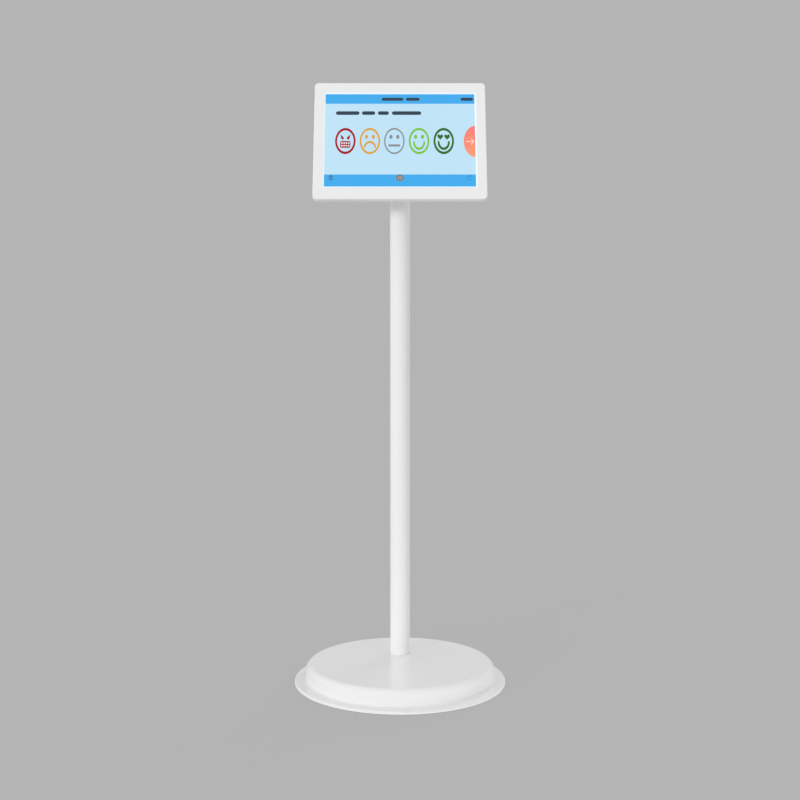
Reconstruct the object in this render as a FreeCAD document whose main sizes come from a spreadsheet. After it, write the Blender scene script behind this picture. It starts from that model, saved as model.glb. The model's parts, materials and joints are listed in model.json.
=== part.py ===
import FreeCAD, Part
import math
import os
import re
from collections import namedtuple

import Sketcher
from FreeCAD import Placement, Rotation, Vector

# A free-standing feedback kiosk: a touch screen that tilts and turns on a round pole over a round base.
# Lengths are millimetres and angles are degrees.  +Z is up, +X is to the viewer's right and the screen
# faces -Y.  The origin is on the floor, under the centre of the base.

SIZES = {
    # base
    "base_radius": 200,
    "base_height": 36.6,
    "flange_width": 21.5,
    "flange_height": 6,
    "flange_lift": 1,
    "lip_radius": 3,
    "shoulder_radius": 12,
    "cove_radius": 4,
    "cover_gauge": 1.5,
    "foot_height": 3,
    "foot_radius": 13,
    "foot_margin": 18,
    "foot_count": 6,
    "foot_angle": 30,
    "ballast_margin": 12,
    "ballast_thickness": 10,
    "cover_post_radius": 6,
    "cover_post_margin": 38,
    "cover_post_count": 4,
    "screw_angle": 45,
    "screw_sink": 0.4,
    "edge_break": 1,
    "small_edge_break": 0.6,
    "cover_screw_radius": 2.5,
    "cover_screw_head": 4.25,
    "cover_screw_length": 18,
    # pole socket
    "socket_radius": 50,
    "socket_thickness": 6,
    "socket_screw_circle": 38,
    "socket_screw_count": 4,
    "socket_screw_radius": 3,
    "socket_screw_head": 5,
    "spigot_length": 50,
    "spigot_bore": 12,
    "grub_screw_radius": 3,
    # pole
    "pole_radius": 19,
    "pole_wall": 1.5,
    "pole_setback": 54.6,
    "pole_fit": 0.2,
    "pole_hole_gap": 0.3,
    # cable ways
    "cable_bore": 4,
    "grommet_neck": 5.5,
    "grommet_flange": 7,
    "grommet_lip": 2,
    "skirt_grommet_height": 17.3,
    "foot_hole_rise": 8,
    "pole_grommet_drop": 118,
    # tilt joint
    "tilt_angle": 18.8,
    "tilt_range": 90,
    "pivot_height": 988.7,
    "pivot_rise": 24,
    "collar_thickness": 8,
    "collar_chamfer": 1,
    "top_spigot_length": 45,
    "top_screw_radius": 2.5,
    "top_screw_head": 4.5,
    "top_screw_drop": 15,
    "lug_half_width": 13,
    "lug_radius": 13.5,
    "pivot_bolt_radius": 4,
    "pivot_bolt_head": 7,
    "pivot_bolt_head_height": 4.4,
    "pivot_socket_flats": 5,
    "pivot_nut_flats": 13,
    "pivot_nut_height": 8,
    "friction_washer_radius": 13,
    "friction_washer_thickness": 2,
    "ear_thickness": 4,
    "ear_radius": 17,
    "ear_root": 22,
    "ear_fillet": 4,
    "stop_circle": 11.5,
    "stop_pin_radius": 2,
    "stop_gap": 0.2,
    # swivel joint
    "turn_range": 90,
    "turn_start": 135,
    "disc_radius": 40,
    "disc_thickness": 4,
    "turn_circle": 32,
    "turn_pin_radius": 2.5,
    "swivel_bolt_radius": 5,
    "swivel_bolt_head": 11,
    "swivel_bolt_head_height": 4,
    "swivel_recess_gap": 1.5,
    "swivel_disc_radius": 28,
    "swivel_disc_thickness": 1,
    "swivel_washer_radius": 12,
    "swivel_washer_thickness": 2,
    "swivel_nut_flats": 17,
    "swivel_nut_height": 9,
    "vesa_size": 100,
    "vesa_corner": 10,
    "vesa_thickness": 3,
    "vesa_pitch": 75,
    "vesa_screw_radius": 2,
    "vesa_screw_head": 4,
    "vesa_screw_head_height": 2.2,
    "vesa_screw_length": 12,
    "vesa_pillar_radius": 5,
    # disc springs, one set on each bolt
    "spring_gauge": 0.8,
    "spring_cone": 0.5,
    # fits
    "running_gap": 0.05,
    "slide_gap": 0.1,
    "snug_gap": 0.05,
    "screw_gap": 0.3,
    # head, outside
    "frame_side": 20.5,
    "frame_end": 24.5,
    "head_corner": 8,
    "head_depth": 29.2,
    "face_reach": 79.2,
    "rim_depth": 10,
    "rim_rounding": 2,
    "taper": 30,
    "back_corner": 20,
    "back_rounding": 12,
    "back_rounding_count": 3,
    "housing_wall": 2.2,
    "housing_side_wall": 4.1,
    # head, screen
    "display_width": 277,
    "display_height": 189,
    "display_corner": 0.8,
    "display_rise": 1.5,
    "bevel_width": 3,
    "bezel_plate": 2.2,
    "bezel_wall": 2.5,
    "gasket_thickness": 0.5,
    "gasket_margin": 1,
    "glass_overlap": 4,
    "glass_corner": 3,
    "glass_thickness": 2,
    "panel_overlap": 4.5,
    "panel_thickness": 1.8,
    "guide_thickness": 3,
    "tray_gauge": 0.8,
    "tray_gap": 0.3,
    # head, frame and screws
    "chassis_margin": 8,
    "chassis_corner": 6,
    "chassis_gauge": 1.5,
    "post_radius": 3.5,
    "post_gap_x": 1,
    "post_gap_z": 3.5,
    "case_screw_radius": 1.5,
    "case_screw_head": 3,
    "case_screw_head_height": 1.8,
    "case_screw_length": 8,
    "case_well_wall": 1.2,
    "case_well_floor": 1.8,
    # head, electronics
    "board_inset": 89,
    "board_height": 50,
    "board_gap": 4,
    "board_thickness": 1.6,
    "board_standoff": 5,
    "board_standoff_radius": 3,
    "board_screw_radius": 1.25,
    "board_margin": 5,
    "board_corner": 1,
    "chip_size": 12,
    "chip_margin": 12,
    "chip_step": 10,
    "chip_height": 1.4,
    "spreader_width": 52,
    "spreader_height": 26,
    "spreader_rise": 33,
    "spreader_thickness": 2,
    "fin_count": 7,
    "fin_gauge": 1.6,
    "fin_height": 4,
    "notch_width": 96,
    "notch_height": 49,
    "notch_depth": 15,
    "port_pitch": 27,
    "port_wall_gap": 0.2,
    "dc_body_width": 10,
    "dc_body_height": 7.2,
    "dc_body_length": 13,
    "dc_nose_radius": 3.9,
    "dc_bore_radius": 3.15,
    "dc_bore_depth": 9.5,
    "dc_pin_radius": 1,
    "usb_a_width": 13.1,
    "usb_a_height": 5.7,
    "usb_a_corner": 0.5,
    "usb_a_tongue_width": 11.1,
    "usb_a_tongue_height": 1.8,
    "usb_c_width": 8.9,
    "usb_c_height": 3.3,
    "usb_c_corner": 1.4,
    "usb_c_tongue_width": 6.6,
    "usb_c_tongue_height": 0.8,
    "usb_gauge": 0.3,
    "usb_depth": 14,
    "usb_opening": 12,
    "usb_tongue_sink": 1.5,
    "usb_tongue_corner": 0.2,
    "speaker_width": 46,
    "speaker_height": 18,
    "speaker_depth": 9,
    "speaker_inset": 61,
    "speaker_rise": 59,
    "speaker_corner": 3,
    "speaker_rim": 2,
    "speaker_dish": 1.5,
    "antenna_width": 42,
    "antenna_height": 9,
    "antenna_gauge": 0.4,
    "antenna_inset": 69,
    "antenna_drop": 25,
    "flex_inset": 10,
    "flex_width": 16,
    "flex_gauge": 0.3,
    "flex_overhang": 2,
    "flex_slot_gap": 1.5,
    # head, back wall
    "vent_count": 25,
    "vent_pitch": 8,
    "vent_width": 3,
    "vent_length": 20,
    "vent_drop": 52,
    "sound_slot_count": 5,
    "sound_slot_pitch": 6,
    "sound_slot_length": 14,
    "lock_drop": 10,
    "lock_length": 7,
    "key_inset": 54,
    "power_z": 40,
    "power_radius": 5,
    "power_rim": 1.5,
    "power_rim_height": 1.2,
    "power_stem_radius": 2,
    "power_travel": 0.8,
    "key_gap": 0.3,
    "key_proud": 1,
    "rocker_z": 12,
    "rocker_width": 8,
    "rocker_height": 24,
    "rocker_pin_radius": 1,
    "rocker_pin_depth": 3,
    "rocker_depth": 4.4,
    "rocker_corner": 2,
    "rocker_foot_radius": 1.5,
    "rocker_free": 0.5,
    "rocker_rib_width": 2.4,
    "rocker_rib_height": 6,
    "rocker_rib_cover": 1.4,
    "key_board_depth": 8.2,
    "key_board_width": 14,
    "key_board_height": 72,
    "key_board_z": 22,
    "key_column_span": 64,
    "key_column_radius": 2.5,
    "switch_size": 6,
    "switch_height": 2,
    "switch_gap": 0.1,
}

# Places and lengths that several parts share, each written once from the sizes above.
DOME_RADIUS = "(base_radius - flange_width)"
BALLAST_RADIUS = f"({DOME_RADIUS} - ballast_margin)"
FOOT_CIRCLE = f"({BALLAST_RADIUS} - foot_margin)"
COVER_POST_CIRCLE = f"({BALLAST_RADIUS} - cover_post_margin)"
SOCKET_FOOT = "(foot_height + ballast_thickness)"
POLE_FOOT = "(foot_height + ballast_thickness + socket_thickness)"
COVER_UNDERSIDE = "(base_height - cover_gauge)"
POLE_TOP = "(pivot_height - pivot_rise - collar_thickness)"
FOOT_HOLE = f"({POLE_FOOT} + foot_hole_rise)"
SPIGOT_RADIUS = "(pole_radius - pole_wall - pole_fit)"
POLE_INSIDE = "(pole_radius - pole_wall)"

HEAD_WIDTH = "(display_width + 2 * frame_side)"
HEAD_HEIGHT = "(display_height + 2 * frame_end)"
GLASS_WIDTH = "(display_width + 2 * glass_overlap)"
GLASS_HEIGHT = "(display_height + 2 * glass_overlap)"
PANEL_WIDTH = "(display_width + 2 * panel_overlap)"
PANEL_HEIGHT = "(display_height + 2 * panel_overlap)"
POST_SPAN_X = f"({PANEL_WIDTH} + 2 * (post_radius + post_gap_x))"
POST_SPAN_Z = f"({PANEL_HEIGHT} + 2 * (post_radius + post_gap_z))"
NOTCH_TOP = f"({HEAD_HEIGHT} / 2 - notch_height)"
BOARD_BOTTOM = f"({NOTCH_TOP} - board_gap)"
SPEAKER_X = f"({HEAD_WIDTH} / 2 - speaker_inset)"
SPEAKER_Z = f"({HEAD_HEIGHT} / 2 - speaker_rise)"
PANEL_BOTTOM = f"(display_rise - {PANEL_HEIGHT} / 2)"
FLEX_BOTTOM = f"({PANEL_BOTTOM} - flex_overhang)"
VENT_Z = f"({HEAD_HEIGHT} / 2 - vent_drop)"
KEY_X = f"({HEAD_WIDTH} / 2 - key_inset)"
BOARD_WIDTH = f"({HEAD_WIDTH} - 2 * board_inset)"
FLEX_X = f"({BOARD_WIDTH} / 2 - flex_inset)"
ANTENNA_X = f"({HEAD_WIDTH} / 2 - antenna_inset)"

# Depths in the head are reaches: distances in front of the tilt axis, measured towards the viewer.
HEAD_BACK = "(face_reach - head_depth)"
RIM_BACK = "(face_reach - rim_depth)"
INNER_BACK = f"({HEAD_BACK} + housing_wall)"
BEZEL_INSIDE = "(face_reach - bezel_plate)"
GLASS_FRONT = f"({BEZEL_INSIDE} - gasket_thickness)"
GLASS_BACK = f"({GLASS_FRONT} - glass_thickness)"
PANEL_BACK = f"({GLASS_BACK} - panel_thickness)"
GUIDE_BACK = f"({PANEL_BACK} - guide_thickness)"
TRAY_BACK = f"({GUIDE_BACK} - tray_gauge)"
CHASSIS_BACK = f"({TRAY_BACK} - chassis_gauge)"
BOARD_FRONT = f"({CHASSIS_BACK} - board_standoff)"
BOARD_BACK = f"({BOARD_FRONT} - board_thickness)"
PORT_MOUTH = f"(-{NOTCH_TOP})"
NOTCH_FRONT = f"({HEAD_BACK} + notch_depth)"
VESA_BACK = f"({HEAD_BACK} - vesa_thickness)"
DISC_FRONT = f"({VESA_BACK} - swivel_disc_thickness - slide_gap)"
DISC_BACK = f"({DISC_FRONT} - disc_thickness)"
WASHER_FRONT = f"({DISC_BACK} - slide_gap)"
WASHER_BACK = f"({WASHER_FRONT} - swivel_washer_thickness)"
NUT_FRONT = f"({WASHER_BACK} - spring_gauge - spring_cone)"
NUT_BACK = f"({NUT_FRONT} - swivel_nut_height)"
KEY_BOARD_BACK = f"({HEAD_BACK} + key_board_depth)"
SWITCH_FACE = f"({KEY_BOARD_BACK} - switch_height)"
ROCKER_PIN_REACH = f"({HEAD_BACK} + rocker_pin_depth)"

EAR_INSIDE = "(lug_half_width + friction_washer_thickness + slide_gap)"
EAR_OUTSIDE = f"({EAR_INSIDE} + ear_thickness)"
PIVOT_NUT_START = f"({EAR_OUTSIDE} + spring_gauge + spring_cone)"
PIVOT_NUT_END = f"({PIVOT_NUT_START} + pivot_nut_height)"

# Where a sub-part's own origin is: x, y, z and the lean about +X.
Frame = namedtuple("Frame", "x y z lean")
FLOOR = Frame("0", "0", "0", "0")
POLE = Frame("0", "pole_setback", "0", "0")
PIVOT = Frame("0", "pole_setback", "pivot_height", "0")
HEAD = Frame("0", "pole_setback", "pivot_height", "-tilt_angle")

# Sketch planes.  A sketch on FRONT looks at the screen side and its normal runs towards the viewer.
LEVEL = "XY_Plane"
FRONT = "XZ_Plane"
SIDE = "YZ_Plane"

START, END, CENTRE = range(1, 4)

Circle = namedtuple("Circle", "x y radius")

document = FreeCAD.newDocument("feedback_kiosk")
sheet = document.addObject("Spreadsheet::Sheet", "sizes")
for row, (alias, value) in enumerate(SIZES.items(), start=1):
    sheet.set(f"A{row}", str(value))
    sheet.setAlias(f"A{row}", alias)
document.recompute()

alias_word = re.compile(r"\b(" + "|".join(SIZES) + r")\b")
parts = []


def bound(text):
    """Spell an expression over the sizes the way an object outside the sheet reads it."""
    return alias_word.sub(r"sizes.\1", text)


def number(text):
    """Work out an expression over the sizes."""
    return float(sheet.evalExpression(text))


# ---------------------------------------------------------------- sketches

def arc_between(start, end, radius, turn):
    """An arc of up to half a circle from start to end that turns left or right."""
    chord = end - start
    rise = math.sqrt(max(radius ** 2 - chord.Length ** 2 / 4, 0))
    across = Vector(-chord.y, chord.x, 0).normalize()
    centre = (start + end) * 0.5 + across * (rise if turn == "left" else -rise)
    first, last = (start, end) if turn == "left" else (end, start)
    angle_first = math.atan2(first.y - centre.y, first.x - centre.x)
    angle_last = math.atan2(last.y - centre.y, last.x - centre.x)
    if angle_last < angle_first:
        angle_last += 2 * math.pi
    circle = Part.Circle(centre, Vector(0, 0, 1), radius)
    return Part.ArcOfCircle(circle, angle_first, angle_last)


def dimension(kind, where, text):
    """A sketch dimension and the expression that drives it."""
    return Sketcher.Constraint(kind, *where, number(text)), text


def circle_dimensions(sketch, circle):
    """Draw a circle and return its dimensions."""
    centre = Vector(number(circle.x), number(circle.y), 0)
    geometry = Part.Circle(centre, Vector(0, 0, 1), number(circle.radius))
    index = sketch.addGeometry(geometry, False)
    return [
        dimension("DistanceX", (index, CENTRE), circle.x),
        dimension("DistanceY", (index, CENTRE), circle.y),
        dimension("Radius", (index,), circle.radius),
    ]


def outline_dimensions(sketch, points):
    """Draw a closed outline and return its dimensions.

    A point is (x, y), or (x, y, turn, radius) where an arc leaves it.
    """
    corners = [Vector(number(point[0]), number(point[1]), 0) for point in points]
    dimensions = []
    spans = []
    for point, start, end in zip(points, corners, corners[1:] + corners[:1]):
        turn, radius = point[2:] if len(point) == 4 else ("none", None)
        if radius is None:
            geometry = Part.LineSegment(start, end)
        else:
            geometry = arc_between(start, end, number(radius), turn)
        index = sketch.addGeometry(geometry, False)
        ends = (END, START) if turn == "right" else (START, END)
        spans.append((index, ends))
        dimensions.append(dimension("DistanceX", (index, ends[0]), point[0]))
        dimensions.append(dimension("DistanceY", (index, ends[0]), point[1]))
        if radius is not None:
            dimensions.append(dimension("Radius", (index,), radius))
    joints = [Sketcher.Constraint("Coincident", index, ends[1], next_index, next_ends[0])
              for (index, ends), (next_index, next_ends) in zip(spans, spans[1:] + spans[:1])]
    sketch.addConstraint(joints)
    return dimensions


def draw(body, plane, shapes, offset="0"):
    """Sketch outlines and circles on one of a body's own planes, moved along its normal."""
    datum = next(item for item in body.Origin.OriginFeatures if item.Role == plane)
    sketch = body.newObject("Sketcher::SketchObject", f"{body.Name}_sketch")
    sketch.AttachmentSupport = [(datum, "")]
    sketch.MapMode = "FlatFace"
    sketch.setExpression("AttachmentOffset.Base.z", bound(offset))
    dimensions = []
    for shape in shapes:
        measure = circle_dimensions if isinstance(shape, Circle) else outline_dimensions
        dimensions += measure(sketch, shape)
    first = sketch.ConstraintCount
    sketch.addConstraint([constraint for constraint, _ in dimensions])
    for index, (_, text) in enumerate(dimensions, start=first):
        sketch.setExpression(f"Constraints[{index}]", bound(text))
    return sketch


def rounded(x, y, width, height, radius):
    """A rectangle about (x, y) with round corners."""
    radius = f"({radius})"
    left, right = f"({x}) - ({width}) / 2", f"({x}) + ({width}) / 2"
    low, high = f"({y}) - ({height}) / 2", f"({y}) + ({height}) / 2"
    return [
        (f"{left} + {radius}", low),
        (f"{right} - {radius}", low, "left", radius),
        (right, f"{low} + {radius}"),
        (right, f"{high} - {radius}", "left", radius),
        (f"{right} - {radius}", high),
        (f"{left} + {radius}", high, "left", radius),
        (left, f"{high} - {radius}"),
        (left, f"{low} + {radius}", "left", radius),
    ]


def rectangle(left, low, right, high):
    return [(left, low), (right, low), (right, high), (left, high)]


def block(x, y, width, height):
    """A rectangle about its middle."""
    return rectangle(f"({x}) - ({width}) / 2", f"({y}) - ({height}) / 2",
                     f"({x}) + ({width}) / 2", f"({y}) + ({height}) / 2")


def upright_slot(x, y, width, height):
    """A slot with round ends that stands along the second axis."""
    half = f"({width}) / 2"
    low, high = f"({y}) - ({height}) / 2", f"({y}) + ({height}) / 2"
    return [
        (f"({x}) + {half}", f"{low} + {half}"),
        (f"({x}) + {half}", f"{high} - {half}", "left", half),
        (x, high, "left", half),
        (f"({x}) - {half}", f"{high} - {half}"),
        (f"({x}) - {half}", f"{low} + {half}", "left", half),
        (x, low, "left", half),
    ]


def curved_slot(circle, half_width, first, last):
    """A slot with round ends that follows a circle about the origin from one angle to another."""
    def on(radius, angle, onward="0"):
        return (f"({radius}) * cos({angle}) - ({onward}) * sin({angle})",
                f"({radius}) * sin({angle}) + ({onward}) * cos({angle})")
    outer, inner = f"({circle} + {half_width})", f"({circle} - {half_width})"
    return [
        (*on(outer, first), "left", outer),
        (*on(outer, last), "left", half_width),
        (*on(circle, last, half_width), "left", half_width),
        (*on(inner, last), "right", inner),
        (*on(inner, first), "left", half_width),
        (*on(circle, first, f"-({half_width})"), "left", half_width),
    ]


def hexagon(x, y, flats):
    """A hexagon given by its width across flats."""
    corner = f"({flats}) / 2 / cos(30)"
    return [(f"({x}) + {corner} * cos({angle})", f"({y}) + {corner} * sin({angle})")
            for angle in range(0, 360, 60)]


def ring_of_circles(circle, count, first, radius, y="0"):
    """Equal circles spaced round the point (0, y)."""
    angles = [f"({first} + 360 / {count} * {index})" for index in range(round(number(count)))]
    return [Circle(f"{circle} * cos({angle})", f"{y} + {circle} * sin({angle})", radius) for angle in angles]


def grid_of_circles(span_x, span_y, columns, rows, radius, y="0"):
    """Equal circles on a rectangular grid, centred on x = 0 and on the given y."""
    shares = {2: (-0.5, 0.5), 3: (-0.5, 0, 0.5)}
    return [Circle(f"({span_x}) * ({column})", f"({y}) + ({span_y}) * ({line})", radius)
            for column in shares[columns] for line in shares[rows]]


# ---------------------------------------------------------------- features

def place(thing, frame):
    """Tie an object's placement to a frame."""
    thing.Placement = Placement(Vector(), Rotation(Vector(1, 0, 0), 1))
    for axis in "xyz":
        thing.setExpression(f"Placement.Base.{axis}", bound(getattr(frame, axis)))
    thing.setExpression("Placement.Rotation.Angle", bound(frame.lean))


def new_body(name, frame, is_part=True):
    body = document.addObject("PartDesign::Body", name)
    body.Label = name
    place(body, frame)
    if is_part:
        parts.append(body)
    return body


def pad(body, plane, shapes, low, high):
    """Add material over the shapes, from low to high along the plane's normal."""
    sketch = draw(body, plane, shapes, low)
    feature = body.newObject("PartDesign::Pad", f"{body.Name}_pad")
    feature.Profile = sketch
    feature.setExpression("Length", bound(f"({high}) - ({low})"))
    return feature


def pocket(body, plane, shapes, low, high):
    """Cut material over the shapes, from low to high along the plane's normal."""
    sketch = draw(body, plane, shapes, high)
    feature = body.newObject("PartDesign::Pocket", f"{body.Name}_pocket")
    feature.Profile = sketch
    feature.setExpression("Length", bound(f"({high}) - ({low})"))
    return feature


def turn(body, plane, outline, axis):
    """Turn an outline about the sketch's first (H_Axis) or second (V_Axis) axis."""
    sketch = draw(body, plane, [outline])
    feature = body.newObject("PartDesign::Revolution", f"{body.Name}_turned")
    feature.Profile = sketch
    feature.ReferenceAxis = (sketch, [axis])
    feature.Angle = 360
    return feature


def loft(body, kind, plane, sections):
    """Join outlines at several offsets by straight walls; kind is AdditiveLoft or SubtractiveLoft."""
    sketches = [draw(body, plane, [outline], offset) for outline, offset in sections]
    feature = body.newObject(f"PartDesign::{kind}", f"{body.Name}_loft")
    feature.Profile = sketches[0]
    feature.Sections = sketches[1:]
    feature.Ruled = True
    return feature


def edges_in_plane(feature, axis, text):
    """Names of the edges that lie wholly where one coordinate has the given value."""
    document.recompute()
    place_there = number(text)
    names = []
    for index, edge in enumerate(feature.Shape.Edges, start=1):
        box = edge.BoundBox
        reach = (getattr(box, f"{axis}Min"), getattr(box, f"{axis}Max"))
        if all(abs(value - place_there) < 0.01 for value in reach):
            names.append(f"Edge{index}")
    return names


def dress(body, kind, feature, names, size):
    """Round (Fillet) or bevel (Chamfer) edges of a feature."""
    dressed = body.newObject(f"PartDesign::{kind}", f"{body.Name}_{kind.lower()}")
    dressed.Base = (feature, names)
    dressed.setExpression("Radius" if kind == "Fillet" else "Size", bound(size))
    return dressed


# ---------------------------------------------------------------- base

def make_base_cover():
    """Pressed sheet: flat top, round shoulder, upright skirt, cove, and a flange whose lip turns down."""
    body = new_body("base_cover", FLOOR)
    flange_underside = "(flange_height - cover_gauge)"
    cove_centre = "(flange_height + cove_radius)"
    shoulder_low = "(base_height - shoulder_radius)"
    turn(body, FRONT, [
        ("base_radius", "flange_lift"),
        ("base_radius", "flange_height - lip_radius", "left", "lip_radius"),
        ("base_radius - lip_radius", "flange_height"),
        (f"{DOME_RADIUS} + cove_radius", "flange_height", "right", "cove_radius"),
        (DOME_RADIUS, cove_centre),
        (DOME_RADIUS, shoulder_low, "left", "shoulder_radius"),
        (f"{DOME_RADIUS} - shoulder_radius", "base_height"),
        ("0", "base_height"),
        ("0", COVER_UNDERSIDE),
        (f"{DOME_RADIUS} - shoulder_radius", COVER_UNDERSIDE, "right", "shoulder_radius - cover_gauge"),
        (f"{DOME_RADIUS} - cover_gauge", shoulder_low),
        (f"{DOME_RADIUS} - cover_gauge", cove_centre, "left", "cove_radius + cover_gauge"),
        (f"{DOME_RADIUS} + cove_radius", flange_underside),
        ("base_radius - lip_radius", flange_underside, "right", "lip_radius - cover_gauge"),
        ("base_radius - cover_gauge", "flange_height - lip_radius"),
        ("base_radius - cover_gauge", "flange_lift"),
    ], "V_Axis")
    pocket(body, LEVEL, [Circle("0", "pole_setback", "pole_radius + pole_hole_gap")],
           f"{COVER_UNDERSIDE} - 1", "base_height + 1")
    pocket(body, FRONT, [Circle("0", "skirt_grommet_height", "grommet_neck + screw_gap")],
           f"-{DOME_RADIUS} - 1", f"-{DOME_RADIUS} + cover_gauge + 2")


def cover_post_ring(radius):
    """Circles where the cover's posts and their screws stand."""
    return ring_of_circles(COVER_POST_CIRCLE, "cover_post_count", "screw_angle", radius)


def socket_screw_ring(radius, y="0"):
    """Circles where the pole socket's screws stand."""
    return ring_of_circles("socket_screw_circle", "socket_screw_count", "screw_angle", radius, y)


def make_ballast_plate():
    """Steel disc with counterbored holes from below for the cover screws and the socket screws."""
    body = new_body("ballast_plate", FLOOR)
    top = SOCKET_FOOT
    disc = pad(body, LEVEL, [Circle("0", "0", BALLAST_RADIUS)], "foot_height", top)
    dress(body, "Chamfer", disc, edges_in_plane(disc, "Z", top), "edge_break")
    holes = cover_post_ring("cover_screw_radius + screw_gap")
    holes += socket_screw_ring("socket_screw_radius + screw_gap", "pole_setback")
    pocket(body, LEVEL, holes, "foot_height - 1", f"{top} + 1")
    pocket(body, LEVEL, cover_post_ring("cover_screw_head + screw_gap"),
           "foot_height - 1", "foot_height + 2 * cover_screw_radius")
    pocket(body, LEVEL, socket_screw_ring("socket_screw_head + screw_gap", "pole_setback"),
           "foot_height - 1", "foot_height + 2 * socket_screw_radius")


def make_rubber_feet():
    body = new_body("rubber_feet", FLOOR)
    feet = ring_of_circles(FOOT_CIRCLE, "foot_count", "foot_angle", "foot_radius")
    blocks = pad(body, LEVEL, feet, "0", "foot_height")
    dress(body, "Chamfer", blocks, edges_in_plane(blocks, "Z", "0"), "small_edge_break")


def make_cover_posts():
    body = new_body("cover_posts", FLOOR)
    pad(body, LEVEL, cover_post_ring("cover_post_radius"), SOCKET_FOOT, COVER_UNDERSIDE)
    pocket(body, LEVEL, cover_post_ring("cover_screw_radius + snug_gap"),
           f"{SOCKET_FOOT} - 1", "foot_height + cover_screw_length + 4")


def make_cover_screws():
    body = new_body("cover_screws", FLOOR)
    head_top = "foot_height + 2 * cover_screw_radius"
    heads = cover_post_ring("cover_screw_head")
    sockets = [hexagon(head.x, head.y, "1.6 * cover_screw_radius") for head in heads]
    pad(body, LEVEL, heads, "foot_height + screw_sink", head_top)
    pad(body, LEVEL, cover_post_ring("cover_screw_radius"), head_top, "foot_height + cover_screw_length")
    pocket(body, LEVEL, sockets, "foot_height", "foot_height + screw_sink + cover_screw_radius")


def make_pole_socket():
    """Turned flange with a hollow spigot; the cable leaves it through the hole at its back."""
    body = new_body("pole_socket", POLE)
    spigot_top = f"{POLE_FOOT} + spigot_length"
    turn(body, FRONT, [
        ("spigot_bore", SOCKET_FOOT),
        ("socket_radius - edge_break", SOCKET_FOOT),
        ("socket_radius", f"{SOCKET_FOOT} + edge_break"),
        ("socket_radius", f"{POLE_FOOT} - edge_break"),
        ("socket_radius - edge_break", POLE_FOOT),
        (SPIGOT_RADIUS, POLE_FOOT),
        (SPIGOT_RADIUS, f"{spigot_top} - edge_break"),
        (f"{SPIGOT_RADIUS} - edge_break", spigot_top),
        ("spigot_bore", spigot_top),
    ], "V_Axis")
    pocket(body, LEVEL, socket_screw_ring("socket_screw_radius + snug_gap"),
           f"{SOCKET_FOOT} - 1", f"{POLE_FOOT} + 1")
    pocket(body, FRONT, [Circle("0", FOOT_HOLE, "cable_bore + screw_gap")], "-pole_radius", "0")
    pocket(body, SIDE, [Circle("0", FOOT_HOLE, "grub_screw_radius + snug_gap")], "-pole_radius", "pole_radius")


def make_socket_screws():
    body = new_body("socket_screws", POLE)
    head_top = "foot_height + 2 * socket_screw_radius"
    heads = socket_screw_ring("socket_screw_head")
    sockets = [hexagon(head.x, head.y, "1.6 * socket_screw_radius") for head in heads]
    pad(body, LEVEL, heads, "foot_height + screw_sink", head_top)
    pad(body, LEVEL, socket_screw_ring("socket_screw_radius"), head_top, POLE_FOOT)
    pocket(body, LEVEL, sockets, "foot_height", "foot_height + screw_sink + socket_screw_radius")


# ---------------------------------------------------------------- pole

def make_pole_tube():
    body = new_body("pole_tube", POLE)
    turn(body, FRONT, [
        (POLE_INSIDE, POLE_FOOT),
        ("pole_radius", POLE_FOOT),
        ("pole_radius", POLE_TOP),
        (POLE_INSIDE, POLE_TOP),
    ], "V_Axis")
    pocket(body, FRONT, [Circle("0", FOOT_HOLE, "cable_bore + screw_gap")], "-pole_radius - 1", "0")
    pocket(body, FRONT, [Circle("0", "pivot_height - pole_grommet_drop", "grommet_neck + screw_gap")],
           "-pole_radius - 1", "0")
    pocket(body, SIDE, [Circle("0", FOOT_HOLE, "grub_screw_radius + screw_gap")],
           "-pole_radius - 1", "pole_radius + 1")
    pocket(body, SIDE, [Circle("0", f"{POLE_TOP} - top_screw_drop", "top_screw_radius + screw_gap")],
           "-pole_radius - 1", "pole_radius + 1")


def make_grub_screws():
    """Two set screws that press through the tube into the spigot, one from each side."""
    body = new_body("grub_screws", POLE)
    inner, outer = "spigot_bore + 0.5", "pole_radius"
    for low, high in ((inner, outer), (f"-{outer}", f"-({inner})")):
        pad(body, SIDE, [Circle("0", FOOT_HOLE, "grub_screw_radius")], low, high)
    for low, high in ((f"{outer} - 3", f"{outer} + 1"), (f"-{outer} - 1", f"-{outer} + 3")):
        pocket(body, SIDE, [hexagon("0", FOOT_HOLE, "grub_screw_radius")], low, high)


def make_grommet(name, frame, tube_radius, wall):
    """Rubber ring in a hole through a round wall; its bore runs along Y and its outer lip rests on the wall."""
    body = new_body(name, frame)
    seat = f"(sqrt(({tube_radius} - {wall})^2 - grommet_flange^2) - {tube_radius} - 0.1)"
    turn(body, SIDE, [
        (f"{seat} - grommet_lip", "cable_bore"),
        ("grommet_lip", "cable_bore"),
        ("grommet_lip", "grommet_flange - 1"),
        ("grommet_lip - 1", "grommet_flange"),
        ("0", "grommet_flange"),
        ("0", "grommet_neck"),
        (seat, "grommet_neck"),
        (seat, "grommet_flange"),
        (f"{seat} - grommet_lip + 1", "grommet_flange"),
        (f"{seat} - grommet_lip", "grommet_flange - 1"),
    ], "H_Axis")


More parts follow.
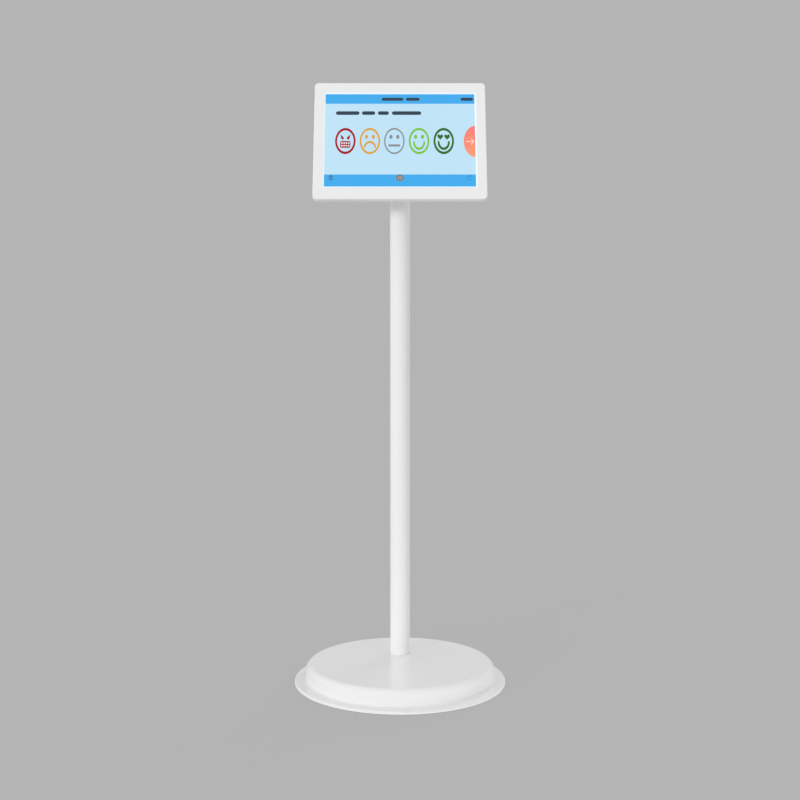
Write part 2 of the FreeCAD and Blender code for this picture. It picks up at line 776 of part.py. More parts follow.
def make_pole_head():
    """Plug in the top of the tube with a collar and the lug that carries the tilt joint."""
    body = new_body("pole_head", PIVOT)
    collar_top = "-pivot_rise"
    collar_foot = "(-pivot_rise - collar_thickness)"
    spigot_foot = f"({collar_foot} - top_spigot_length)"
    turn(body, FRONT, [
        ("0", f"{collar_foot} - 6"),
        (f"{SPIGOT_RADIUS} - 6", f"{collar_foot} - 6"),
        (f"{SPIGOT_RADIUS} - 6", spigot_foot),
        (f"{SPIGOT_RADIUS} - 1", spigot_foot),
        (SPIGOT_RADIUS, f"{spigot_foot} + 1"),
        (SPIGOT_RADIUS, collar_foot),
        ("pole_radius", collar_foot),
        ("pole_radius", f"{collar_top} - collar_chamfer"),
        ("pole_radius - collar_chamfer", collar_top),
        ("0", collar_top),
    ], "V_Axis")
    pad(body, SIDE, [[
        ("-lug_radius", f"{collar_top} - 1"),
        ("lug_radius", f"{collar_top} - 1"),
        ("lug_radius", "0", "left", "lug_radius"),
        ("0", "lug_radius", "left", "lug_radius"),
        ("-lug_radius", "0"),
    ]], "-lug_half_width", "lug_half_width")
    pocket(body, SIDE, [Circle("0", "0", "pivot_bolt_radius + running_gap"),
                        Circle("0", "-stop_circle", "stop_pin_radius + snug_gap")],
           "-lug_half_width - 1", "lug_half_width + 1")
    pocket(body, SIDE, [Circle("0", f"{collar_foot} - top_screw_drop", "top_screw_radius + snug_gap")],
           "-pole_radius", "pole_radius")


def make_pole_head_screws():
    body = new_body("pole_head_screws", POLE)
    height = f"{POLE_TOP} - top_screw_drop"
    shank, head = "top_screw_radius", "top_screw_head"
    for low, high in (("pole_radius - 7", "pole_radius"), ("-pole_radius", "-pole_radius + 7")):
        pad(body, SIDE, [Circle("0", height, shank)], low, high)
    for low, high in (("pole_radius", "pole_radius + 2"), ("-pole_radius - 2", "-pole_radius")):
        pad(body, SIDE, [Circle("0", height, head)], low, high)
    for low, high in (("pole_radius", "pole_radius + 3"), ("-pole_radius - 3", "-pole_radius")):
        pocket(body, SIDE, [hexagon("0", height, "1.2 * top_screw_radius")], low, high)


def make_tilt_stop_pin():
    body = new_body("tilt_stop_pin", PIVOT)
    pad(body, SIDE, [Circle("0", "-stop_circle", "stop_pin_radius")], f"-{EAR_OUTSIDE}", EAR_OUTSIDE)


# ---------------------------------------------------------------- tilt joint

def make_tilt_bracket():
    """Disc that the head turns on, with two ears that straddle the lug on the pole."""
    body = new_body("tilt_bracket", HEAD)
    disc = pad(body, FRONT, [Circle("0", "0", "disc_radius")], DISC_BACK, DISC_FRONT)
    dress(body, "Chamfer", disc, edges_in_plane(disc, "Y", f"-{DISC_FRONT}"), "0.8")
    ear = [
        (f"-{DISC_BACK} - 1", "-ear_root"),
        (f"-{DISC_BACK}", "-ear_root"),
        ("0", "-ear_radius", "left", "ear_radius"),
        ("ear_radius", "0", "left", "ear_radius"),
        ("0", "ear_radius"),
        (f"-{DISC_BACK}", "ear_root"),
        (f"-{DISC_BACK} - 1", "ear_root"),
    ]
    pad(body, SIDE, [ear], EAR_INSIDE, EAR_OUTSIDE)
    ears = pad(body, SIDE, [ear], f"-{EAR_OUTSIDE}", f"-{EAR_INSIDE}")
    document.recompute()
    roots = [f"Edge{index}" for index, edge in enumerate(ears.Shape.Edges, start=1) if is_ear_root(edge)]
    dress(body, "Fillet", ears, roots, "ear_fillet")
    pocket(body, SIDE, [Circle("0", "0", "pivot_bolt_radius + snug_gap"),
                        curved_slot("stop_circle", "(stop_pin_radius + stop_gap)", "-90", "tilt_range - 90")],
           f"-{EAR_OUTSIDE} - 1", f"{EAR_OUTSIDE} + 1")
    pocket(body, FRONT, [Circle("0", "0", "swivel_bolt_radius + running_gap"),
                         curved_slot("turn_circle", "(turn_pin_radius + stop_gap)",
                                     "turn_start", "turn_start + turn_range")],
           f"{DISC_BACK} - 1", f"{DISC_FRONT} + 1")


def is_ear_root(edge):
    """True for the long upright edges where the outer faces of the ears meet the disc."""
    box = edge.BoundBox
    on_disc = abs(box.YMin + number(DISC_BACK)) < 0.01 and abs(box.YMax + number(DISC_BACK)) < 0.01
    upright = box.XLength < 0.01 and box.ZLength > number("ear_root")
    return on_disc and upright and abs(abs(box.Center.x) - number(EAR_OUTSIDE)) < 0.01


def make_pivot_bolt():
    body = new_body("pivot_bolt", HEAD)
    head_end = f"(-{EAR_OUTSIDE} - pivot_bolt_head_height)"
    tip = f"({PIVOT_NUT_END} + 1.5)"
    turn(body, FRONT, [
        (head_end, "0"),
        (tip, "0"),
        (tip, "pivot_bolt_radius - 0.8"),
        (f"{tip} - 0.8", "pivot_bolt_radius"),
        (f"-{EAR_OUTSIDE}", "pivot_bolt_radius"),
        (f"-{EAR_OUTSIDE}", "pivot_bolt_head"),
        (f"{head_end} + 2.4", "pivot_bolt_head"),
        (head_end, "pivot_bolt_head - 2.4"),
    ], "H_Axis")
    pocket(body, SIDE, [hexagon("0", "0", "pivot_socket_flats")], f"{head_end} - 1", f"{head_end} + 2.8")


def cone_washer(body, plane, start, away, bore, rim):
    """Disc spring about the H axis: a flat ring whose rim stands off its bore by spring_cone."""
    def at(distance):
        return f"({start}) + ({away}) * ({distance})"
    turn(body, plane, [
        (at("0"), rim),
        (at("spring_gauge"), rim),
        (at("spring_gauge + spring_cone"), bore),
        (at("spring_cone"), bore),
    ], "H_Axis")


def make_pivot_springs():
    body = new_body("pivot_springs", HEAD)
    cone_washer(body, FRONT, EAR_OUTSIDE, "1", "pivot_bolt_radius + screw_gap", "pivot_bolt_radius + 4.5")


def make_pivot_nut():
    """Lock nut with the round collar of its nylon ring."""
    body = new_body("pivot_nut", HEAD)
    collar = "2"
    bore = Circle("0", "0", "pivot_bolt_radius + snug_gap")
    pad(body, SIDE, [hexagon("0", "0", "pivot_nut_flats"), bore], PIVOT_NUT_START, f"{PIVOT_NUT_END} - {collar}")
    pad(body, SIDE, [Circle("0", "0", "pivot_nut_flats / 2 - 0.4"), bore],
        f"{PIVOT_NUT_END} - {collar}", PIVOT_NUT_END)


def make_friction_washers():
    body = new_body("friction_washers", HEAD)
    ring = [Circle("0", "0", "friction_washer_radius"), Circle("0", "0", "pivot_bolt_radius + screw_gap")]
    pin_way = curved_slot("stop_circle", "(stop_pin_radius + stop_gap)", "-90", "tilt_range - 90")
    inner = f"{EAR_INSIDE} - friction_washer_thickness"
    for low, high in ((inner, EAR_INSIDE), (f"-{EAR_INSIDE}", f"-({inner})")):
        pad(body, SIDE, ring, low, high)
    pocket(body, SIDE, [pin_way], f"-{EAR_INSIDE} - 1", f"{EAR_INSIDE} + 1")


# ---------------------------------------------------------------- swivel joint

def make_vesa_plate():
    body = new_body("vesa_plate", HEAD)
    plate = pad(body, FRONT, [rounded("0", "0", "vesa_size", "vesa_size", "vesa_corner")], VESA_BACK, HEAD_BACK)
    dress(body, "Chamfer", plate, edges_in_plane(plate, "Y", f"-{VESA_BACK}"), "0.6")
    turn_pin = Circle("turn_circle * cos(turn_start)", "turn_circle * sin(turn_start)",
                      "turn_pin_radius + snug_gap")
    holes = grid_of_circles("vesa_pitch", "vesa_pitch", 2, 2, "vesa_screw_radius + screw_gap")
    pocket(body, FRONT, [Circle("0", "0", "swivel_bolt_radius + snug_gap"), turn_pin] + holes,
           f"{VESA_BACK} - 1", f"{HEAD_BACK} + 1")


def make_vesa_screws():
    body = new_body("vesa_screws", HEAD)
    heads = grid_of_circles("vesa_pitch", "vesa_pitch", 2, 2, "vesa_screw_head")
    shanks = grid_of_circles("vesa_pitch", "vesa_pitch", 2, 2, "vesa_screw_radius")
    sockets = [hexagon(head.x, head.y, "1.25 * vesa_screw_radius") for head in heads]
    outside = f"{VESA_BACK} - vesa_screw_head_height"
    blocks = pad(body, FRONT, heads, outside, VESA_BACK)
    dress(body, "Fillet", blocks, edges_in_plane(blocks, "Y", f"-({outside})"), "vesa_screw_head_height / 2")
    pad(body, FRONT, shanks, VESA_BACK, f"{VESA_BACK} + vesa_screw_length")
    pocket(body, FRONT, sockets, f"{outside} - 1", f"{outside} + 1.4")


def make_swivel_bolt():
    body = new_body("swivel_bolt", HEAD)
    tip = f"({NUT_BACK} - 1.5)"
    head_front = f"({HEAD_BACK} + swivel_bolt_head_height)"
    turn(body, SIDE, [
        (f"-{head_front}", "0"),
        (f"-{tip}", "0"),
        (f"-{tip}", "swivel_bolt_radius - 0.8"),
        (f"-{tip} - 0.8", "swivel_bolt_radius"),
        (f"-{HEAD_BACK}", "swivel_bolt_radius"),
        (f"-{HEAD_BACK}", "swivel_bolt_head"),
        (f"-{head_front} + 1", "swivel_bolt_head"),
        (f"-{head_front}", "swivel_bolt_head - 1"),
    ], "H_Axis")


def make_swivel_rings():
    """Friction disc in front of the bracket, plain washer and disc spring behind it."""
    disc = new_body("swivel_disc", HEAD)
    pad(disc, FRONT, [Circle("0", "0", "swivel_disc_radius"), Circle("0", "0", "swivel_bolt_radius + screw_gap")],
        f"{VESA_BACK} - swivel_disc_thickness", VESA_BACK)
    washer = new_body("swivel_washer", HEAD)
    pad(washer, FRONT, [Circle("0", "0", "swivel_washer_radius"),
                        Circle("0", "0", "swivel_bolt_radius + screw_gap")], WASHER_BACK, WASHER_FRONT)
    spring = new_body("swivel_springs", HEAD)
    cone_washer(spring, SIDE, f"-{WASHER_BACK}", "1", "swivel_bolt_radius + screw_gap",
                "swivel_washer_radius - 1")


def make_swivel_nut():
    body = new_body("swivel_nut", HEAD)
    collar = "2.5"
    bore = Circle("0", "0", "swivel_bolt_radius + snug_gap")
    pad(body, FRONT, [hexagon("0", "0", "swivel_nut_flats"), bore], f"{NUT_BACK} + {collar}", NUT_FRONT)
    pad(body, FRONT, [Circle("0", "0", "swivel_nut_flats / 2 - 0.5"), bore], NUT_BACK, f"{NUT_BACK} + {collar}")


def make_turn_stop_pin():
    body = new_body("turn_stop_pin", HEAD)
    pin = Circle("turn_circle * cos(turn_start)", "turn_circle * sin(turn_start)", "turn_pin_radius")
    pad(body, FRONT, [pin], f"{DISC_BACK} - 1", HEAD_BACK)


# ---------------------------------------------------------------- head: screen side

def make_front_bezel():
    """Moulded frame: rounded front edge, bevelled window, rim wall and six posts for the case screws."""
    body = new_body("front_bezel", HEAD)
    block = pad(body, FRONT, [rounded("0", "0", HEAD_WIDTH, HEAD_HEIGHT, "head_corner")],
                RIM_BACK, "face_reach")
    dress(body, "Fillet", block, edges_in_plane(block, "Y", "-face_reach"), "rim_rounding")
    pocket(body, FRONT, [rounded("0", "0", f"{HEAD_WIDTH} - 2 * bezel_wall", f"{HEAD_HEIGHT} - 2 * bezel_wall",
                                 "head_corner - bezel_wall")], f"{RIM_BACK} - 1", BEZEL_INSIDE)
    loft(body, "SubtractiveLoft", FRONT, [
        (rounded("0", "display_rise", "display_width", "display_height", "display_corner"), BEZEL_INSIDE),
        (rounded("0", "display_rise", "display_width + 2 * bevel_width", "display_height + 2 * bevel_width",
                 "display_corner + bevel_width"), "face_reach"),
    ])
    pad(body, FRONT, grid_of_circles(POST_SPAN_X, POST_SPAN_Z, 2, 3, "post_radius"), TRAY_BACK, BEZEL_INSIDE)
    pocket(body, FRONT, grid_of_circles(POST_SPAN_X, POST_SPAN_Z, 2, 3, "case_screw_radius + snug_gap"),
           f"{TRAY_BACK} - 1", f"{BEZEL_INSIDE} - 1")


def make_glass_gasket():
    body = new_body("glass_gasket", HEAD)
    ring = [rounded("0", "display_rise", GLASS_WIDTH, GLASS_HEIGHT, "glass_corner"),
            rounded("0", "display_rise", "display_width + 2 * gasket_margin", "display_height + 2 * gasket_margin",
                    "display_corner + gasket_margin")]
    pad(body, FRONT, ring, GLASS_FRONT, BEZEL_INSIDE)


def make_touch_glass():
    body = new_body("touch_glass", HEAD)
    pad(body, FRONT, [rounded("0", "display_rise", GLASS_WIDTH, GLASS_HEIGHT, "glass_corner")],
        GLASS_BACK, GLASS_FRONT)


def screen_layer(margin):
    """The panel's rectangle, smaller by a margin all round."""
    half_width = f"({PANEL_WIDTH} / 2 - ({margin}))"
    half_height = f"({PANEL_HEIGHT} / 2 - ({margin}))"
    return rectangle(f"-{half_width}", f"display_rise - {half_height}", half_width, f"display_rise + {half_height}")


def make_lcd_panel():
    body = new_body("lcd_panel", HEAD)
    pad(body, FRONT, [screen_layer("0")], PANEL_BACK, GLASS_BACK)


def make_backlight():
    guide = new_body("light_guide", HEAD)
    pad(guide, FRONT, [screen_layer("tray_gauge + tray_gap")], GUIDE_BACK, PANEL_BACK)
    tray = new_body("backlight_tray", HEAD)
    pad(tray, FRONT, [screen_layer("0")], TRAY_BACK, PANEL_BACK)
    pocket(tray, FRONT, [screen_layer("tray_gauge")], GUIDE_BACK, f"{PANEL_BACK} + 1")


def make_chassis_plate():
    """Steel plate between the screen and the electronics; the case screws clamp it on the posts."""
    body = new_body("chassis_plate", HEAD)
    pad(body, FRONT, [rounded("0", "0", f"{HEAD_WIDTH} - 2 * chassis_margin", f"{HEAD_HEIGHT} - 2 * chassis_margin",
                              "chassis_corner")], CHASSIS_BACK, TRAY_BACK)
    screw_holes = grid_of_circles(POST_SPAN_X, POST_SPAN_Z, 2, 3, "case_screw_radius + screw_gap")
    flex_slot = block(FLEX_X, FLEX_BOTTOM, "flex_width + 2 * flex_slot_gap", "2 * flex_slot_gap")
    pocket(body, FRONT, screw_holes + [flex_slot], f"{CHASSIS_BACK} - 1", f"{TRAY_BACK} + 1")


# ---------------------------------------------------------------- head: electronics

def make_vesa_pillars():
    """Threaded pillars that carry the head's weight from the chassis to the plate outside."""
    body = new_body("vesa_pillars", HEAD)
    pad(body, FRONT, grid_of_circles("vesa_pitch", "vesa_pitch", 2, 2, "vesa_pillar_radius"),
        INNER_BACK, CHASSIS_BACK)
    pocket(body, FRONT, grid_of_circles("vesa_pitch", "vesa_pitch", 2, 2, "vesa_screw_radius + snug_gap"),
           f"{INNER_BACK} - 1", f"{VESA_BACK} + vesa_screw_length + 1")


BOARD_MIDDLE = f"(board_height / 2 - {BOARD_BOTTOM})"
BOARD_HOLE_SPANS = (f"{BOARD_WIDTH} - 2 * board_margin", "board_height - 2 * board_margin")


def make_main_board():
    body = new_body("main_board", HEAD)
    pad(body, FRONT, [block("0", BOARD_MIDDLE, BOARD_WIDTH, "board_height")], BOARD_BACK, BOARD_FRONT)
    pillar_ways = [Circle(f"{side} * vesa_pitch / 2", "-vesa_pitch / 2", "vesa_pillar_radius + 1")
                   for side in (-1, 1)]
    screw_holes = grid_of_circles(*BOARD_HOLE_SPANS, 2, 2, "board_screw_radius + screw_gap", BOARD_MIDDLE)
    pocket(body, FRONT, pillar_ways + screw_holes, f"{BOARD_BACK} - 1", f"{BOARD_FRONT} + 1")
    chips = [block(f"{side} * ({BOARD_WIDTH} / 2 - chip_margin)", f"{BOARD_MIDDLE} + {step} * chip_step",
                   "chip_size", "chip_size") for side, step in ((-1, 1), (1, 1), (1, -1))]
    pad(body, FRONT, chips, f"{BOARD_BACK} - chip_height", BOARD_BACK)


def make_heat_spreader():
    """Finned block over the processor."""
    body = new_body("heat_spreader", HEAD)
    middle = f"(spreader_rise - {BOARD_BOTTOM})"
    plate_back = f"({BOARD_BACK} - spreader_thickness)"
    pad(body, FRONT, [block("0", middle, "spreader_width", "spreader_height")], plate_back, BOARD_BACK)
    fins = [block(f"(spreader_width - fin_gauge) * ({index} / (fin_count - 1) - 0.5)", middle,
                  "fin_gauge", "spreader_height") for index in range(round(number("fin_count")))]
    pad(body, FRONT, fins, f"{plate_back} - fin_height", plate_back)


def make_board_fixings():
    standoffs = new_body("board_standoffs", HEAD)
    outer = grid_of_circles(*BOARD_HOLE_SPANS, 2, 2, "board_standoff_radius", BOARD_MIDDLE)
    inner = grid_of_circles(*BOARD_HOLE_SPANS, 2, 2, "board_screw_radius + snug_gap", BOARD_MIDDLE)
    pad(standoffs, FRONT, outer, BOARD_FRONT, CHASSIS_BACK)
    pocket(standoffs, FRONT, inner, f"{BOARD_FRONT} - 1", f"{BOARD_FRONT} + 4")
    screws = new_body("board_screws", HEAD)
    heads = grid_of_circles(*BOARD_HOLE_SPANS, 2, 2, "2 * board_screw_radius", BOARD_MIDDLE)
    shanks = grid_of_circles(*BOARD_HOLE_SPANS, 2, 2, "board_screw_radius", BOARD_MIDDLE)
    pad(screws, FRONT, heads, f"{BOARD_BACK} - 1.6", BOARD_BACK)
    pad(screws, FRONT, shanks, BOARD_BACK, f"{BOARD_FRONT} + 3")


def port_depth(kind):
    """Sketch height of a connector's middle: its flat side lies on the back of the board."""
    return f"(-({BOARD_BACK} - {kind}_height / 2))"


def make_dc_inlet():
    """Barrel socket: square body on the board and a round nose in the port wall, with a centre pin."""
    body = new_body("dc_inlet", HEAD)
    x, y = "-port_pitch", port_depth("dc_body")
    shoulder = f"({PORT_MOUTH} + housing_wall + port_wall_gap)"
    pad(body, LEVEL, [block(x, y, "dc_body_width", "dc_body_height")], shoulder, f"{shoulder} + dc_body_length")
    pad(body, LEVEL, [Circle(x, y, "dc_nose_radius")], PORT_MOUTH, shoulder)
    pocket(body, LEVEL, [Circle(x, y, "dc_bore_radius"), Circle(x, y, "dc_pin_radius")],
           f"{PORT_MOUTH} - 1", f"{PORT_MOUTH} + dc_bore_depth")


def make_usb_port(kind, x):
    """Metal shell about a tongue, open downwards."""
    body = new_body(f"{kind}_port", HEAD)
    y = port_depth(kind)
    pad(body, LEVEL, [rounded(x, y, f"{kind}_width", f"{kind}_height", f"{kind}_corner")],
        PORT_MOUTH, f"{PORT_MOUTH} + usb_depth")
    pocket(body, LEVEL, [rounded(x, y, f"{kind}_width - 2 * usb_gauge", f"{kind}_height - 2 * usb_gauge",
                                 f"{kind}_corner - usb_gauge / 2")], f"{PORT_MOUTH} - 1", f"{PORT_MOUTH} + usb_opening")
    pad(body, LEVEL, [rounded(x, y, f"{kind}_tongue_width", f"{kind}_tongue_height", "usb_tongue_corner")],
        f"{PORT_MOUTH} + usb_tongue_sink", f"{PORT_MOUTH} + usb_opening + usb_gauge")


def make_speakers():
    body = new_body("speakers", HEAD)
    boxes = [rounded(f"{side} * {SPEAKER_X}", f"-{SPEAKER_Z}", "speaker_width", "speaker_height",
                     "speaker_corner") for side in (-1, 1)]
    cones = [Circle(f"{side} * {SPEAKER_X}", f"-{SPEAKER_Z}", "speaker_height / 2 - speaker_rim")
             for side in (-1, 1)]
    pad(body, FRONT, boxes, f"{CHASSIS_BACK} - speaker_depth", CHASSIS_BACK)
    pocket(body, FRONT, cones, f"{CHASSIS_BACK} - speaker_depth - 1", f"{CHASSIS_BACK} - speaker_depth + speaker_dish")


def make_antenna():
    body = new_body("antenna", HEAD)
    pad(body, FRONT, [block(f"-{ANTENNA_X}", f"{HEAD_HEIGHT} / 2 - antenna_drop", "antenna_width", "antenna_height")],
        f"{CHASSIS_BACK} - antenna_gauge", CHASSIS_BACK)


def make_display_flex():
    """Flat cable from the panel's lower edge, through the chassis, up to the board."""
    body = new_body("display_flex", HEAD)
    half = "flex_gauge / 2"
    panel_mid = f"({GLASS_BACK} - panel_thickness / 2)"
    board_mid = f"({BOARD_FRONT} - board_thickness / 2)"
    outline = [
        (f"-{panel_mid} - {half}", PANEL_BOTTOM),
        (f"-{panel_mid} - {half}", f"{FLEX_BOTTOM} - {half}"),
        (f"-{board_mid} + {half}", f"{FLEX_BOTTOM} - {half}"),
        (f"-{board_mid} + {half}", f"-{BOARD_BOTTOM}"),
        (f"-{board_mid} - {half}", f"-{BOARD_BOTTOM}"),
        (f"-{board_mid} - {half}", f"{FLEX_BOTTOM} + {half}"),
        (f"-{panel_mid} + {half}", f"{FLEX_BOTTOM} + {half}"),
        (f"-{panel_mid} + {half}", PANEL_BOTTOM),
    ]
    pad(body, SIDE, [outline], f"{FLEX_X} - flex_width / 2", f"{FLEX_X} + flex_width / 2")


# ---------------------------------------------------------------- head: keys

def make_power_button():
    """Round key: it stands proud of the back wall and its rim holds it in."""
    frame = Frame(KEY_X, "pole_setback", "pivot_height", "-tilt_angle")
    body = new_body("power_button", frame)
    rim_back = f"({INNER_BACK} + running_gap)"
    rim_front = f"({rim_back} + power_rim_height)"
    cap = [Circle("0", "power_z", "power_radius")]
    top = pad(body, FRONT, cap, f"{HEAD_BACK} - key_proud", rim_back)
    dress(body, "Fillet", top, edges_in_plane(top, "Y", f"-({HEAD_BACK} - key_proud)"), "small_edge_break")
    pad(body, FRONT, [Circle("0", "power_z", "power_radius + power_rim")], rim_back, rim_front)
    pad(body, FRONT, [Circle("0", "power_z", "power_stem_radius")], rim_front,
        f"{SWITCH_FACE} - power_travel - switch_gap")


def make_volume_rocker():
    """Rocking key on a cross pin, with a foot over each switch."""
    frame = Frame(KEY_X, "pole_setback", "pivot_height", "-tilt_angle")
    body = new_body("volume_rocker", frame)
    outside = f"({HEAD_BACK} - key_proud)"
    inside = f"({HEAD_BACK} + rocker_depth)"
    bar = pad(body, FRONT, [rounded("0", "rocker_z", "rocker_width", "rocker_height", "rocker_corner")],
              outside, inside)
    dress(body, "Fillet", bar, edges_in_plane(bar, "Y", f"-{outside}"), "small_edge_break")
    feet = [Circle("0", f"rocker_z + {side} * rocker_height / 3", "rocker_foot_radius") for side in (-1, 1)]
    pad(body, FRONT, feet, inside, f"{SWITCH_FACE} - rocker_free")
    pocket(body, SIDE, [Circle(f"-{ROCKER_PIN_REACH}", "rocker_z", "rocker_pin_radius + running_gap")],
           "-rocker_width", "rocker_width")


def make_rocker_pin():
    body = new_body("rocker_pin", HEAD)
    half = "(rocker_width / 2 + key_gap + rocker_rib_width)"
    pad(body, SIDE, [Circle(f"-{ROCKER_PIN_REACH}", "rocker_z", "rocker_pin_radius")],
        f"{KEY_X} - {half}", f"{KEY_X} + {half}")


def make_button_board():
    """Small board behind the keys with three switches on it."""
    body = new_body("button_board", HEAD)
    pad(body, FRONT, [rounded(KEY_X, "key_board_z", "key_board_width", "key_board_height", "board_corner")],
        KEY_BOARD_BACK, f"{KEY_BOARD_BACK} + board_thickness")
    middles = ["power_z", "rocker_z - rocker_height / 3", "rocker_z + rocker_height / 3"]
    switches = [block(KEY_X, z, "switch_size", "switch_size") for z in middles]
    pad(body, FRONT, switches, SWITCH_FACE, KEY_BOARD_BACK)


# ---------------------------------------------------------------- head: rear cover

def make_cover_outside():
    """The housing's outer form: a tapered tray whose back edge is rounded in flat steps."""
    body = new_body("rear_cover_outside", HEAD, is_part=False)
    slope = "atan((head_depth - rim_depth) / taper)"
    arc_middle = (f"((head_depth - rim_depth - back_rounding * (1 - cos({slope}))) / tan({slope})"
                  f" + back_rounding * sin({slope}))")
    sections = [(rounded("0", "0", HEAD_WIDTH, HEAD_HEIGHT, "head_corner"), RIM_BACK)]
    for step in range(round(number("back_rounding_count")), -1, -1):
        angle = f"{slope} * {step} / back_rounding_count"
        inset = f"({arc_middle} - back_rounding * sin({angle}))"
        corner = f"head_corner + (back_corner - head_corner) * {inset} / {arc_middle}"
        outline = rounded("0", "0", f"{HEAD_WIDTH} - 2 * {inset}", f"{HEAD_HEIGHT} - 2 * {inset}", corner)
        sections.append((outline, f"{HEAD_BACK} + back_rounding * (1 - cos({angle}))"))
    loft(body, "AdditiveLoft", FRONT, sections)
    return body


def make_cover_core():
    """Everything that is empty in the housing: the inside less its bosses, then every hole and recess."""
    body = new_body("rear_cover_core", HEAD, is_part=False)
    slope = "(taper / (head_depth - rim_depth))"
    inner_taper = f"({slope} * (head_depth - rim_depth - housing_wall))"
    rim_inset = "2 * housing_side_wall"
    loft(body, "AdditiveLoft", FRONT, [
        (rounded("0", "0", f"{HEAD_WIDTH} - {rim_inset}", f"{HEAD_HEIGHT} - {rim_inset}",
                 "head_corner - housing_side_wall"), RIM_BACK),
        (rounded("0", "0", f"{HEAD_WIDTH} - {rim_inset} - 2 * {inner_taper}",
                 f"{HEAD_HEIGHT} - {rim_inset} - 2 * {inner_taper}", "back_corner - housing_wall"), INNER_BACK),
    ])
    leave_bosses(body)
    cut_openings(body)
    return body


def leave_bosses(body):
    """Bosses, ribs and walls are places where the core is cut back."""
    well_radius = "(case_screw_head + screw_gap + case_well_wall)"
    pocket(body, FRONT, grid_of_circles(POST_SPAN_X, POST_SPAN_Z, 2, 3, well_radius),
           f"{HEAD_BACK} - 1", CHASSIS_BACK)
    pocket(body, FRONT, [Circle("0", "0", "swivel_bolt_head + swivel_recess_gap + housing_wall")],
           f"{HEAD_BACK} - 1", f"{HEAD_BACK} + swivel_bolt_head_height + 1 + housing_wall")
    pocket(body, FRONT, [rectangle("-notch_width / 2 - housing_wall", f"-{HEAD_HEIGHT} / 2",
                                   "notch_width / 2 + housing_wall", f"-{NOTCH_TOP} + housing_wall")],
           f"{HEAD_BACK} - 1", f"{NOTCH_FRONT} + housing_wall")
    columns = [Circle(KEY_X, f"key_board_z + {side} * key_column_span / 2", "key_column_radius") for side in (-1, 1)]
    pocket(body, FRONT, columns, f"{HEAD_BACK} - 1", KEY_BOARD_BACK)
    ribs = [block(f"{KEY_X} + {side} * (rocker_width / 2 + key_gap + rocker_rib_width / 2)", "rocker_z",
                  "rocker_rib_width", "rocker_rib_height") for side in (-1, 1)]
    pocket(body, FRONT, ribs, f"{HEAD_BACK} - 1", f"{ROCKER_PIN_REACH} + rocker_pin_radius + rocker_rib_cover")


def cut_openings(body):
    """Wells, holes, slots and the port notch are added to the core."""
    outside = f"{HEAD_BACK} - 1"
    through = f"{INNER_BACK} + 0.5"
    wells = grid_of_circles(POST_SPAN_X, POST_SPAN_Z, 2, 3, "case_screw_head + screw_gap")
    holes = grid_of_circles(POST_SPAN_X, POST_SPAN_Z, 2, 3, "case_screw_radius + screw_gap")
    well_floor = f"({CHASSIS_BACK} - case_well_floor)"
    pad(body, FRONT, wells, outside, well_floor)
    pad(body, FRONT, holes, well_floor, f"{CHASSIS_BACK} + 0.5")
    pad(body, FRONT, grid_of_circles("vesa_pitch", "vesa_pitch", 2, 2, "vesa_screw_radius + screw_gap"),
        outside, through)
    pad(body, FRONT, [Circle("0", "0", "swivel_bolt_head + swivel_recess_gap")],
        outside, f"{HEAD_BACK} + swivel_bolt_head_height + 1")
    pad(body, FRONT, [rectangle("-notch_width / 2", f"-{HEAD_HEIGHT} / 2 - 1", "notch_width / 2", f"-{NOTCH_TOP}")],
        outside, NOTCH_FRONT)
    cut_ports(body)
    cut_vents(body, outside, through)
    pad(body, FRONT, [Circle(KEY_X, "power_z", "power_radius + key_gap"),
                      rounded(KEY_X, "rocker_z", "rocker_width + 2 * key_gap", "rocker_height + 2 * key_gap",
                              "rocker_corner + key_gap")], outside, through)
    half = "(rocker_width / 2 + key_gap + rocker_rib_width + screw_gap)"
    pad(body, SIDE, [Circle(f"-{ROCKER_PIN_REACH}", "rocker_z", "rocker_pin_radius + snug_gap")],
        f"{KEY_X} - {half}", f"{KEY_X} + {half}")


def cut_ports(body):
    """Holes in the wall over the notch, one round each connector."""
    holes = [Circle("-port_pitch", port_depth("dc_body"), "dc_nose_radius + port_wall_gap")]
    for kind, x in (("usb_a", "0"), ("usb_c", "port_pitch")):
        holes.append(rounded(x, port_depth(kind), f"{kind}_width + 2 * port_wall_gap",
                             f"{kind}_height + 2 * port_wall_gap", f"{kind}_corner + port_wall_gap"))
    pad(body, LEVEL, holes, f"{PORT_MOUTH} - 1", f"{PORT_MOUTH} + housing_wall + port_wall_gap")


def cut_vents(body, outside, through):
    """A row of cooling slots along the top, a short row by each speaker, and the lock slot."""
    slot_row(body, "vent_count", "vent_pitch", ("0", VENT_Z), "vent_length", outside, through)
    for side in (-1, 1):
        slot_row(body, "sound_slot_count", "sound_slot_pitch", (f"{side} * {SPEAKER_X}", f"-{SPEAKER_Z}"),
                 "sound_slot_length", outside, through)
    pad(body, FRONT, [upright_slot(f"-{KEY_X}", "-lock_drop", "vent_width", "lock_length")], outside, through)


def slot_row(body, count, pitch, middle, length, outside, through):
    """Upright slots in a row about a middle."""
    first = f"{middle[0]} - {pitch} * ({count} - 1) / 2"
    slot = pad(body, FRONT, [upright_slot(first, middle[1], "vent_width", length)], outside, through)
    row = body.newObject("PartDesign::LinearPattern", f"{body.Name}_row")
    row.Originals = [slot]
    row.Direction = (slot.Profile[0], ["H_Axis"])
    row.setExpression("Length", bound(f"{pitch} * ({count} - 1)"))
    row.setExpression("Occurrences", bound(count))
    body.Tip = row


def make_rear_cover():
    outside = make_cover_outside()
    core = make_cover_core()
    cover = document.addObject("Part::Cut", "rear_cover")
    cover.Label = "rear_cover"
    cover.Base = outside
    cover.Tool = core
    parts.append(cover)


